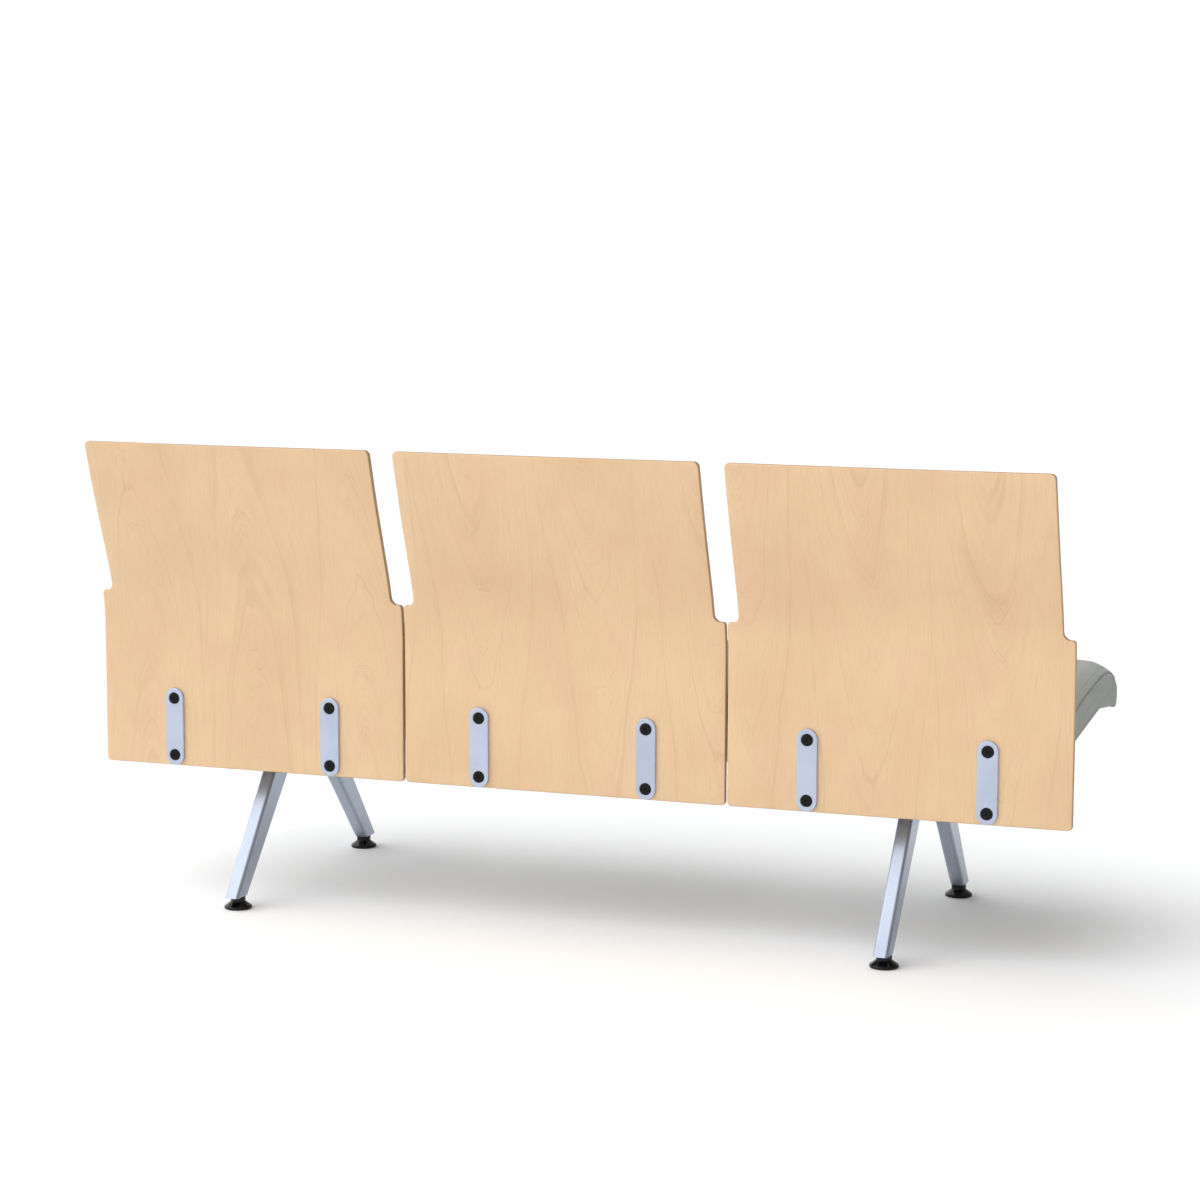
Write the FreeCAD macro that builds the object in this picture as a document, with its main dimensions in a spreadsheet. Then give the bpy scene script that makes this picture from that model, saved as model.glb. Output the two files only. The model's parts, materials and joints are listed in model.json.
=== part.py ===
import FreeCAD, Part
import math
import os

import Sketcher

# Three-seat beam bench in millimetres.
# X runs along the beam, seats face -Y and Z is up; the sitter's left is +X.
# The origin lies on the floor under the middle of the bench's box.
# Heights are above the floor, and fore and aft distances are from the beam's axis.

Vector = FreeCAD.Vector
doc = FreeCAD.newDocument("beam_bench")
sheet = doc.addObject("Spreadsheet::Sheet", "Sizes")

SIZES = {
    # whole bench
    "seat_pitch": 600,
    "beam_axis_y": -6.27,
    "bracket_spacing": 311,
    # beam
    "beam_overhang": 200,
    "beam_width": 60,
    "beam_height": 60,
    "beam_wall": 3,
    "beam_corner": 5,
    "beam_bottom": 280,
    "cap_flange": 3,
    "cap_plug_depth": 20,
    "cap_fit": 0.2,
    # legs: depths are measured level, from the outer to the inner face
    "leg_width": 26.5,
    "leg_wall": 2.5,
    "leg_corner": 6,
    "leg_cut_height": 23,
    "leg_foot_reach": 282,
    "leg_foot_depth": 45,
    "leg_apex_rise": 21,
    "leg_apex_depth": 86,
    "leg_top_drop": 4,
    "cheek_thickness": 6,
    "cheek_length": 84,
    "cheek_overhang": 10,
    "cheek_drop": 2,
    "leg_bolt_spacing": 60,
    # glides
    "glide_inset": 7,
    "plug_height": 25,
    "plug_fit": 0.15,
    "glide_radius": 25,
    "glide_neck_radius": 13.4,
    "glide_rim_height": 5,
    "glide_neck_start": 13,
    "glide_rest_gap": 0.4,
    "glide_round": 2.2,
    "stud_radius": 4,
    "stud_fit": 0.05,
    "stud_rise": 22,
    "stud_foot": 9,
    "stud_flange_radius": 8,
    "stud_flange_height": 3,
    "stud_flange_fit": 0.1,
    # moulded back panels
    "back_gap": 3.5,
    "back_step": 20.5,
    "back_rear_offset": 209.5,
    "back_drop": 40,
    "back_height": 600,
    "back_shoulder_rise": 319,
    "back_bend_rise": 251,
    "back_sweep_rise": 450,
    "back_thickness": 12,
    "back_bend_radius": 341,
    "back_lean": 20.4,
    "back_bow_lean": 1.7,
    "back_sweep_radius": 2300,
    "back_top_corner": 9.5,
    "back_bottom_corner": 7.5,
    "back_shoulder_corner": 6,
    "back_notch_corner": 13,
    "back_edge_round": 3,
    # straps and their screws
    "strap_width": 36,
    "strap_end": 19,
    "strap_rise": 72.5,
    "strap_thickness": 5,
    "strap_edge_round": 1.6,
    "strap_sink_bevel": 0.8,
    "back_screw_spacing": 105,
    "back_screw_head_radius": 10.4,
    "back_screw_head": 3,
    "back_screw_recess": 0.3,
    "back_screw_radius": 4,
    "back_screw_socket": 5,
    "back_screw_socket_depth": 2,
    "hole_clearance": 0.3,
    "head_clearance": 0.2,
    # seat brackets
    "bracket_web": 8,
    "bracket_flange_width": 36,
    "bracket_rear_flange": 10,
    "bracket_rear_foot": 15,
    "bracket_rear_head": 7,
    "bracket_seat_flange": 5,
    "bracket_arm_front_gap": 14,
    "bracket_arm_rear_gap": 37.5,
    "saddle_length": 70,
    "saddle_width": 60,
    "saddle_thickness": 6,
    "saddle_bolt_spacing": 36,
    "bracket_corner": 4,
    # bolts
    "small_bolt_radius": 4,
    "small_bolt_flats": 13,
    "small_bolt_head": 5.3,
    "small_nut_height": 6.5,
    "large_bolt_radius": 5,
    "large_bolt_flats": 16,
    "large_bolt_head": 6.4,
    "large_nut_height": 8,
    "bolt_tail": 2,
    "thread_fit": 0.05,
    # seats
    "seat_tilt": 5.34,
    "seat_rise": 44.2,
    "pan_side_margin": 15.5,
    "pan_thickness": 12,
    "pan_front_margin": 79,
    "pan_rear_margin": 11,
    "pan_corner": 25,
    "pan_fit": 0.3,
    "seat_screw_inset": 30,
    "seat_screw_spread": 24,
    "seat_screw_radius": 2.5,
    "seat_screw_length": 13,
    "seat_screw_head_radius": 5.5,
    "seat_screw_head": 3.2,
    "seat_screw_slack": 0.9,
    "cushion_gap": 33,
    "cushion_rear_gap": 0.5,
    "cushion_front": 284,
    "cushion_rear_height": 54.3,
    "cushion_saddle_height": 61.4,
    "cushion_crest_height": 57.8,
    "cushion_crest_setback": 134,
    "cushion_shoulder_height": 36,
    "cushion_shoulder_setback": 62,
    "cushion_brow_rise": 31,
    "cushion_brow_setback": 16,
    "cushion_nose_rise": 15,
    "cushion_nose_roll": 14,
    "cushion_lip_drop": 16.5,
    "cushion_lip_setback": 185,
    "cushion_lip_end_setback": 48,
    "cushion_crown": 8,
    "cushion_corner": 8,
    "cushion_draw_in": 14,
}

for row, (alias, value) in enumerate(SIZES.items(), start=1):
    sheet.set(f"A{row}", alias)
    sheet.set(f"B{row}", str(value))
    sheet.setAlias(f"B{row}", alias)
doc.recompute()


def size(alias):
    """Value of one driving dimension, read from the sheet."""
    return float(sheet.get(alias))


def value(expression):
    """Value of an expression in the sheet's dimensions."""
    return float(sheet.evalExpression(expression))


# Names for expressions that several pieces share
S = {alias: f"Sizes.{alias}" for alias in SIZES}

BEAM_LENGTH = "(2 * Sizes.seat_pitch + 2 * Sizes.beam_overhang)"
BEAM_TOP = "(Sizes.beam_bottom + Sizes.beam_height)"
BEAM_MIDDLE = "(Sizes.beam_bottom + Sizes.beam_height / 2)"
CHEEK_FACE = "(Sizes.beam_width / 2 + Sizes.cheek_thickness)"
LEG_TOP = "(Sizes.beam_bottom + Sizes.beam_height - Sizes.leg_top_drop)"
LEG_RISE = f"({BEAM_TOP} + Sizes.leg_apex_rise - Sizes.leg_cut_height)"
GLIDE_REACH = "(Sizes.leg_foot_reach - Sizes.glide_inset)"
BACK_WIDTH = "(Sizes.seat_pitch - Sizes.back_gap)"
BACK_BOTTOM = "(Sizes.beam_bottom - Sizes.back_drop)"
BACK_FRONT_OFFSET = "(Sizes.back_rear_offset - Sizes.back_thickness)"
STRAP_FACE = "(Sizes.back_rear_offset + Sizes.strap_thickness)"
STRAP_LENGTH = "(Sizes.back_screw_spacing + 2 * Sizes.strap_end)"
STRAP_MIDDLE = f"({BACK_BOTTOM} + Sizes.strap_rise)"
FLANGE_FRONT = f"({BACK_FRONT_OFFSET} - Sizes.bracket_rear_flange)"
FLANGE_FOOT = f"({STRAP_MIDDLE} - Sizes.back_screw_spacing / 2 - Sizes.bracket_rear_foot)"
FLANGE_HEAD = f"({STRAP_MIDDLE} + Sizes.back_screw_spacing / 2 + Sizes.bracket_rear_head)"
SEAT_UNDERSIDE = f"({BEAM_TOP} + Sizes.seat_rise)"
LIP_START = "(Sizes.cushion_front - Sizes.cushion_lip_setback)"
ARM_FRONT = f"({LIP_START} - Sizes.bracket_arm_front_gap)"
ARM_REAR = f"({FLANGE_FRONT} - Sizes.bracket_arm_rear_gap)"
CUSHION_WIDTH = "(Sizes.seat_pitch - Sizes.cushion_gap)"
CUSHION_REAR = f"({FLANGE_FRONT} - Sizes.cushion_rear_gap)"
PAN_WIDTH = f"({CUSHION_WIDTH} - 2 * Sizes.pan_side_margin)"
PAN_FRONT = "(Sizes.cushion_front - Sizes.pan_front_margin)"
PAN_REAR = f"({CUSHION_REAR} - Sizes.pan_rear_margin)"
SEAT_SCREW_PLACES = (
    f"(-{ARM_FRONT} + Sizes.seat_screw_inset)", f"({ARM_REAR} - Sizes.seat_screw_inset)",
)

SIDES = {"left": 1, "middle": 0, "right": -1}
ENDS = {"rear": 0, "front": 180}


# Sketch helpers: every point is pinned to the sketch's axes by sheet expressions
def new_body(label):
    body = doc.addObject("PartDesign::Body", label)
    body.Label = label
    return body


def new_sketch(body, plane_role, name):
    sketch = body.newObject("Sketcher::SketchObject", name)
    plane = next(f for f in body.Origin.OriginFeatures if f.Role == plane_role)
    sketch.AttachmentSupport = [(plane, "")]
    sketch.MapMode = "FlatFace"
    return sketch


def bind(sketch, kind, places, expression):
    """Add one dimension to a sketch and bind it to a sheet expression."""
    value = float(sketch.evalExpression(expression))
    index = sketch.addConstraint(Sketcher.Constraint(kind, *places, value))
    sketch.setExpression(f"Constraints[{index}]", expression)


def pin(sketch, geometry, point, across, up):
    bind(sketch, "DistanceX", (-1, 1, geometry, point), across)
    bind(sketch, "DistanceY", (-1, 1, geometry, point), up)


def polygon(sketch, corners):
    """Straight closed outline through corners given as pairs of expressions."""
    points = [
        Vector(float(sketch.evalExpression(a)), float(sketch.evalExpression(u)), 0)
        for a, u in corners
    ]
    first = sketch.GeometryCount
    count = len(points)
    for i in range(count):
        sketch.addGeometry(Part.LineSegment(points[i], points[(i + 1) % count]), False)
    for i in range(count):
        after = first + (i + 1) % count
        sketch.addConstraint(Sketcher.Constraint("Coincident", first + i, 2, after, 1))
    for i, (across, up) in enumerate(corners):
        pin(sketch, first + i, 1, across, up)


def rectangle(sketch, low_across, high_across, low_up, high_up):
    polygon(sketch, [
        (low_across, low_up), (high_across, low_up),
        (high_across, high_up), (low_across, high_up),
    ])


def circle(sketch, across, up, radius):
    centre = Vector(float(sketch.evalExpression(across)), float(sketch.evalExpression(up)), 0)
    round_line = Part.Circle(centre, Vector(0, 0, 1), float(sketch.evalExpression(radius)))
    index = sketch.addGeometry(round_line, False)
    pin(sketch, index, 3, across, up)
    bind(sketch, "Radius", (index,), radius)


def hexagon(sketch, across_flats):
    """Hexagon round the origin with two flats parallel to the second axis."""
    half = f"({across_flats} / 2)"
    corner = f"({across_flats} / sqrt(3))"
    polygon(sketch, [
        (half, f"-{corner} / 2"), (half, f"{corner} / 2"), ("0", corner),
        (f"-{half}", f"{corner} / 2"), (f"-{half}", f"-{corner} / 2"), ("0", f"-{corner}"),
    ])


def pad(body, sketch, length, name, symmetric=True, reverse=False):
    feature = body.newObject("PartDesign::Pad", name)
    feature.Profile = sketch
    feature.SideType = "Symmetric" if symmetric else "One side"
    feature.Reversed = reverse
    feature.setExpression("Length", length)
    return feature


def pocket(body, sketch, name, length=None, symmetric=True, reverse=False):
    """Cut a sketch out of a body, right through it unless a length is given."""
    feature = body.newObject("PartDesign::Pocket", name)
    feature.Profile = sketch
    feature.SideType = "Symmetric" if symmetric else "One side"
    feature.Reversed = reverse
    if length is None:
        feature.Type = "ThroughAll"
    else:
        feature.setExpression("Length", length)
    return feature


def revolve(body, sketch, name):
    """Turn a profile drawn in the XZ plane about the vertical axis."""
    feature = body.newObject("PartDesign::Revolution", name)
    feature.Profile = sketch
    feature.ReferenceAxis = (sketch, ["V_Axis"])
    feature.Angle = 360
    return feature


def round_edges(body, base, radius, wanted, name, kind="Fillet"):
    """Fillet or chamfer the edges of a feature that answer to a test."""
    doc.recompute()
    chosen = [f"Edge{i}" for i, edge in enumerate(base.Shape.Edges, start=1) if wanted(edge)]
    feature = body.newObject(f"PartDesign::{kind}", name)
    feature.Base = (base, chosen)
    feature.setExpression("Radius" if kind == "Fillet" else "Size", radius)
    return feature


def place(item, x="0", y="0", z="0", rotation=None):
    """Stand an object in the bench with its place bound to the sheet."""
    if rotation is not None:
        item.Placement = FreeCAD.Placement(Vector(0, 0, 0), rotation)
    for path, expression in (("x", x), ("y", y), ("z", z)):
        if expression != "0":
            item.setExpression(f".Placement.Base.{path}", expression)
    return item


def turn(axis, degrees):
    return FreeCAD.Rotation(axis, degrees)


def copies(label, master_places):
    """One node of several separate solids, each a linked copy of a master form."""
    links = []
    for number, (master, x, y, z, rotation) in enumerate(master_places, start=1):
        link = doc.addObject("App::Link", f"{label}_copy_{number}")
        link.LinkedObject = master
        links.append(place(link, x, y, z, rotation))
    group = doc.addObject("Part::Compound", label)
    group.Label = label
    group.Links = links
    return group


nodes = []
ALONG_X = Vector(1, 0, 0)
ALONG_Z = Vector(0, 0, 1)
UPRIGHT = FreeCAD.Rotation()
FACING_REAR = turn(ALONG_X, -90)
FACING_FRONT = turn(ALONG_X, 90)
FACING_DOWN = turn(ALONG_X, 180)


def is_level(edge):
    return abs(edge.Vertexes[0].Z - edge.Vertexes[-1].Z) < 1e-6


def seat_x(side):
    return f"{SIDES[side]} * Sizes.seat_pitch"


def bracket_x(side, end):
    return f"{SIDES[side]} * Sizes.seat_pitch + {end} * Sizes.bracket_spacing / 2"


# Beam: a square tube with rounded corners, drilled for the legs and the brackets
def make_beam():
    beam = new_body("beam_tube")
    outside = new_sketch(beam, "YZ_Plane", "beam_outside")
    rectangle(
        outside, "-Sizes.beam_width / 2", "Sizes.beam_width / 2",
        "-Sizes.beam_height / 2", "Sizes.beam_height / 2",
    )
    block = pad(beam, outside, BEAM_LENGTH, "beam_block")
    round_edges(
        beam, block, S["beam_corner"],
        lambda e: e.Length > value(BEAM_LENGTH) - 1, "beam_rounded",
    )
    inside = new_sketch(beam, "YZ_Plane", "beam_inside")
    rectangle(
        inside,
        "-Sizes.beam_width / 2 + Sizes.beam_wall", "Sizes.beam_width / 2 - Sizes.beam_wall",
        "-Sizes.beam_height / 2 + Sizes.beam_wall", "Sizes.beam_height / 2 - Sizes.beam_wall",
    )
    hollow = pocket(beam, inside, "beam_hollow")
    inner_half = size("beam_width") / 2 - size("beam_wall")
    round_edges(
        beam, hollow, "Sizes.beam_corner - Sizes.beam_wall",
        lambda e: e.Length > value(BEAM_LENGTH) - 1
        and abs(abs(e.Vertexes[0].Y) - inner_half) < 1e-4
        and abs(abs(e.Vertexes[0].Z) - (size("beam_height") / 2 - size("beam_wall"))) < 1e-4,
        "beam_inner_round",
    )
    across = new_sketch(beam, "XZ_Plane", "leg_bolt_holes")
    for side in ("left", "right"):
        for end in (-1, 1):
            circle(
                across, f"{seat_x(side)} + {end} * Sizes.leg_bolt_spacing / 2", "0",
                "Sizes.large_bolt_radius + Sizes.hole_clearance",
            )
    pocket(beam, across, "beam_leg_holes")
    down = new_sketch(beam, "XY_Plane", "saddle_bolt_holes")
    for side in SIDES:
        for end in (-1, 1):
            for half in (-1, 1):
                circle(
                    down,
                    f"{bracket_x(side, end)} + {half} * Sizes.saddle_bolt_spacing / 2", "0",
                    "Sizes.small_bolt_radius + Sizes.hole_clearance",
                )
    pocket(beam, down, "beam_saddle_holes", "Sizes.beam_height", False, True)
    nodes.append(place(beam, "0", S["beam_axis_y"], BEAM_MIDDLE))


# Beam caps: a flange over the tube's end with a plug inside it
def make_beam_cap(side):
    direction = SIDES[side]
    cap = new_body(f"beam_cap_{side}")
    face = new_sketch(cap, "YZ_Plane", "cap_face")
    rectangle(
        face, "-Sizes.beam_width / 2", "Sizes.beam_width / 2",
        "-Sizes.beam_height / 2", "Sizes.beam_height / 2",
    )
    flange = pad(cap, face, S["cap_flange"], "cap_flange", False, direction < 0)
    rounded = round_edges(
        cap, flange, S["beam_corner"],
        lambda e: abs(e.Length - size("cap_flange")) < 1e-6, "cap_rounded",
    )
    round_edges(
        cap, rounded, "Sizes.cap_flange / 3",
        lambda e: all(abs(abs(v.X) - size("cap_flange")) < 1e-6 for v in e.Vertexes),
        "cap_softened",
    )
    plug = new_sketch(cap, "YZ_Plane", "cap_plug")
    reach = "(Sizes.beam_width / 2 - Sizes.beam_wall - Sizes.cap_fit)"
    height = "(Sizes.beam_height / 2 - Sizes.beam_wall - Sizes.cap_fit)"
    rectangle(plug, f"-{reach}", reach, f"-{height}", height)
    block = pad(cap, plug, S["cap_plug_depth"], "cap_plug_block", False, direction > 0)
    half = size("beam_width") / 2 - size("beam_wall") - size("cap_fit")
    round_edges(
        cap, block, "Sizes.beam_corner - Sizes.beam_wall",
        lambda e: abs(e.Vertexes[0].X - e.Vertexes[-1].X) > 1
        and abs(abs(e.Vertexes[0].Y) - half) < 1e-4,
        "cap_plug_round",
    )
    nodes.append(place(
        cap, f"{direction} * {BEAM_LENGTH} / 2", S["beam_axis_y"], BEAM_MIDDLE,
    ))


# Legs: tapered box sections that lean in from the feet to the beam's two sides.
# Outer and inner face lines run from the level foot cut to the apex above the beam.
def leg_line(outer, inset, height):
    """Distance from the beam's axis to a leg's face line at a height, as an expression."""
    sign = 1 if outer else -1
    foot = f"(Sizes.leg_foot_reach + {sign} * Sizes.leg_foot_depth / 2)"
    apex = f"({sign} * Sizes.leg_apex_depth / 2)"
    share = f"(({height}) - Sizes.leg_cut_height) / {LEG_RISE}"
    run = f"sqrt(1 + pow(({foot} - {apex}) / {LEG_RISE}; 2))"
    return f"({foot} + ({apex} - {foot}) * {share} - {sign} * ({inset}) * {run})"


def leg_line_height(inset, reach):
    """Height at which the inner face line reaches a distance from the beam's axis."""
    foot = "(Sizes.leg_foot_reach - Sizes.leg_foot_depth / 2)"
    apex = "(-Sizes.leg_apex_depth / 2)"
    run = f"sqrt(1 + pow(({foot} - {apex}) / {LEG_RISE}; 2))"
    return (
        f"(Sizes.leg_cut_height + {LEG_RISE} * ({foot} + ({inset}) * {run} - ({reach}))"
        f" / ({foot} - {apex}))"
    )


def is_leg_edge(half_width):
    """Edges that run up a leg, on one of the two planes at a half width."""
    def test(edge):
        a, b = edge.Vertexes[0], edge.Vertexes[-1]
        on_side = all(abs(abs(v.X) - half_width) < 1e-4 for v in (a, b))
        return on_side and abs(a.Y - b.Y) > 1 and abs(a.Z - b.Z) > 1
    return test


def make_leg(end, side):
    leg = new_body(f"leg_{end}_{side}")
    cut = S["leg_cut_height"]
    outline = new_sketch(leg, "YZ_Plane", "leg_outline")
    polygon(outline, [
        (leg_line(False, "0", cut), cut),
        (leg_line(True, "0", cut), cut),
        (leg_line(True, "0", LEG_TOP), LEG_TOP),
        (CHEEK_FACE, LEG_TOP),
        (CHEEK_FACE, leg_line_height("0", CHEEK_FACE)),
    ])
    block = pad(leg, outline, S["leg_width"], "leg_block")
    round_edges(
        leg, block, S["leg_corner"], is_leg_edge(size("leg_width") / 2), "leg_rounded",
    )
    wall = S["leg_wall"]
    below = "(Sizes.leg_cut_height - Sizes.leg_wall)"
    under_top = f"({LEG_TOP} - Sizes.leg_wall)"
    cavity = new_sketch(leg, "YZ_Plane", "leg_cavity")
    polygon(cavity, [
        (leg_line(False, wall, below), below),
        (leg_line(True, wall, below), below),
        (leg_line(True, wall, under_top), under_top),
        (f"({CHEEK_FACE} + Sizes.leg_wall)", under_top),
        (
            f"({CHEEK_FACE} + Sizes.leg_wall)",
            leg_line_height(wall, f"({CHEEK_FACE} + Sizes.leg_wall)"),
        ),
    ])
    hollow = pocket(leg, cavity, "leg_hollow", "Sizes.leg_width - 2 * Sizes.leg_wall")
    round_edges(
        leg, hollow, "Sizes.leg_corner - Sizes.leg_wall",
        is_leg_edge(size("leg_width") / 2 - size("leg_wall")), "leg_hollow_round",
    )
    nodes.append(place(
        leg, seat_x(side), S["beam_axis_y"], "0", turn(ALONG_Z, ENDS[end]),
    ))


# Cheeks: plates at the heads of the legs, bolted flat against the beam's sides
def make_cheek(end, side):
    cheek = new_body(f"leg_cheek_{end}_{side}")
    outline = new_sketch(cheek, "XZ_Plane", "cheek_outline")
    rectangle(
        outline, "-Sizes.cheek_length / 2", "Sizes.cheek_length / 2",
        "(Sizes.beam_bottom - Sizes.cheek_overhang)", f"({BEAM_TOP} - Sizes.cheek_drop)",
    )
    plate = pad(cheek, outline, S["cheek_thickness"], "cheek_plate", False, True)
    round_edges(
        cheek, plate, S["leg_corner"],
        lambda e: abs(e.Length - size("cheek_thickness")) < 1e-6, "cheek_corners",
    )
    holes = new_sketch(cheek, "XZ_Plane", "cheek_holes")
    for half in (-1, 1):
        circle(
            holes, f"{half} * Sizes.leg_bolt_spacing / 2", BEAM_MIDDLE,
            "Sizes.large_bolt_radius + Sizes.hole_clearance",
        )
    pocket(cheek, holes, "cheek_bolt_holes")
    sign = "1" if end == "rear" else "-1"
    nodes.append(place(
        cheek, seat_x(side), f"Sizes.beam_axis_y + {sign} * Sizes.beam_width / 2", "0",
        turn(ALONG_Z, ENDS[end]),
    ))


# Hexagon bolts and nuts: the head's seat is at the origin, the shank runs down
def make_bolt_form(name, radius, flats, head, length):
    bolt = new_body(name)
    hexagon_outline = new_sketch(bolt, "XY_Plane", "head_outline")
    hexagon(hexagon_outline, flats)
    pad(bolt, hexagon_outline, head, "head", False)
    round_outline = new_sketch(bolt, "XY_Plane", "shank_outline")
    circle(round_outline, "0", "0", radius)
    pad(bolt, round_outline, length, "shank", False, True)
    return bolt


def make_nut_form(name, radius, flats, height):
    nut = new_body(name)
    outline = new_sketch(nut, "XY_Plane", "nut_outline")
    hexagon(outline, flats)
    circle(outline, "0", "0", f"{radius} + Sizes.thread_fit")
    pad(nut, outline, height, "nut_ring", False)
    return nut


# Screws with a round head: the head's face is at the origin, the shank runs down
def make_screw_form(name, head_radius, head, radius, length, socket, socket_depth):
    screw = new_body(name)
    profile = new_sketch(screw, "XZ_Plane", "screw_profile")
    bevel = f"({head} / 6)"
    polygon(profile, [
        ("0", f"-({length})"), (radius, f"-({length})"), (radius, f"-{head}"),
        (head_radius, f"-{head}"), (head_radius, f"-{bevel}"),
        (f"({head_radius} - {bevel})", "0"), ("0", "0"),
    ])
    revolve(screw, profile, "screw_turned")
    outline = new_sketch(screw, "XY_Plane", "screw_socket")
    hexagon(outline, socket)
    pocket(screw, outline, "socket_cut", socket_depth, False)
    return screw


def make_leg_bolts(side, bolt, nut):
    """Two bolts right through both cheeks and the beam, with their nuts."""
    spots = []
    for half in (-1, 1):
        x = f"{seat_x(side)} + {half} * Sizes.leg_bolt_spacing / 2"
        rear = f"Sizes.beam_axis_y + {CHEEK_FACE}"
        front = f"Sizes.beam_axis_y - {CHEEK_FACE}"
        spots.append((bolt, x, rear, BEAM_MIDDLE, FACING_REAR))
        spots.append((nut, x, front, BEAM_MIDDLE, FACING_FRONT))
    nodes.append(copies(f"leg_bolts_{side}", spots))


# Foot plugs: solid inserts in the ends of the legs, with an upright hole for the stud
def make_leg_plug(end, side):
    plug = new_body(f"leg_plug_{end}_{side}")
    low = S["leg_cut_height"]
    high = "(Sizes.leg_cut_height + Sizes.plug_height)"
    inset = "(Sizes.leg_wall + Sizes.plug_fit)"
    outline = new_sketch(plug, "YZ_Plane", "plug_outline")
    polygon(outline, [
        (leg_line(False, inset, low), low), (leg_line(True, inset, low), low),
        (leg_line(True, inset, high), high), (leg_line(False, inset, high), high),
    ])
    block = pad(
        plug, outline, "Sizes.leg_width - 2 * (Sizes.leg_wall + Sizes.plug_fit)", "plug_block",
    )
    half = size("leg_width") / 2 - size("leg_wall") - size("plug_fit")
    round_edges(
        plug, block, "Sizes.leg_corner - Sizes.leg_wall", is_leg_edge(half), "plug_rounded",
    )
    hole = new_sketch(plug, "XY_Plane", "stud_hole")
    circle(hole, "0", GLIDE_REACH, "Sizes.stud_radius + Sizes.stud_fit")
    pocket(plug, hole, "stud_hole_cut", None, False, True)
    nodes.append(place(
        plug, seat_x(side), S["beam_axis_y"], "0", turn(ALONG_Z, ENDS[end]),
    ))


# Glides: a flared base that turns round the flange at the foot of its stud
def glide_y(end):
    sign = "+" if end == "rear" else "-"
    return f"Sizes.beam_axis_y {sign} {GLIDE_REACH}"


def make_glide_base(end, side):
    base = new_body(f"glide_base_{end}_{side}")
    top = "(Sizes.leg_cut_height - Sizes.glide_rest_gap)"
    bore = "(Sizes.stud_radius + Sizes.stud_fit)"
    pocket_radius = "(Sizes.stud_flange_radius + Sizes.stud_flange_fit)"
    pocket_low = "(Sizes.stud_foot - Sizes.stud_flange_fit)"
    pocket_high = "(Sizes.stud_foot + Sizes.stud_flange_height + Sizes.stud_flange_fit)"
    profile = new_sketch(base, "XZ_Plane", "glide_profile")
    polygon(profile, [
        ("0", "0"), (S["glide_radius"], "0"),
        (S["glide_radius"], S["glide_rim_height"]),
        (S["glide_neck_radius"], S["glide_neck_start"]),
        (S["glide_neck_radius"], top),
        (bore, top), (bore, pocket_high), (pocket_radius, pocket_high),
        (pocket_radius, pocket_low), ("0", pocket_low),
    ])
    turned = revolve(base, profile, "glide_turned")
    rim = size("glide_radius")
    neck = size("glide_neck_radius")
    round_edges(
        base, turned, S["glide_round"],
        lambda e: hasattr(e.Curve, "Radius") and (
            abs(e.Curve.Radius - rim) < 1e-6
            or (abs(e.Curve.Radius - neck) < 1e-6
                and abs(e.Vertexes[0].Z - size("glide_neck_start")) < 1e-6)
        ),
        "glide_rounded",
    )
    nodes.append(place(base, seat_x(side), glide_y(end)))


def make_glide_stud(end, side):
    stud = new_body(f"glide_stud_{end}_{side}")
    profile = new_sketch(stud, "XZ_Plane", "stud_profile")
    top = "(Sizes.leg_cut_height + Sizes.stud_rise)"
    shoulder = "(Sizes.stud_foot + Sizes.stud_flange_height)"
    polygon(profile, [
        ("0", S["stud_foot"]), (S["stud_flange_radius"], S["stud_foot"]),
        (S["stud_flange_radius"], shoulder), (S["stud_radius"], shoulder),
        (S["stud_radius"], f"({top} - Sizes.stud_radius / 4)"),
        ("(Sizes.stud_radius * 3 / 4)", top), ("0", top),
    ])
    revolve(stud, profile, "stud_turned")
    nodes.append(place(stud, seat_x(side), glide_y(end)))


# Seat brackets: a web on a saddle over the beam, an arm under the seat and a back flange
def seat_line(distance, drop="0"):
    """Height of the seat's sloping underside at a distance behind the beam's axis."""
    return f"({SEAT_UNDERSIDE} - tan(Sizes.seat_tilt) * ({distance}) - ({drop}))"


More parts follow.
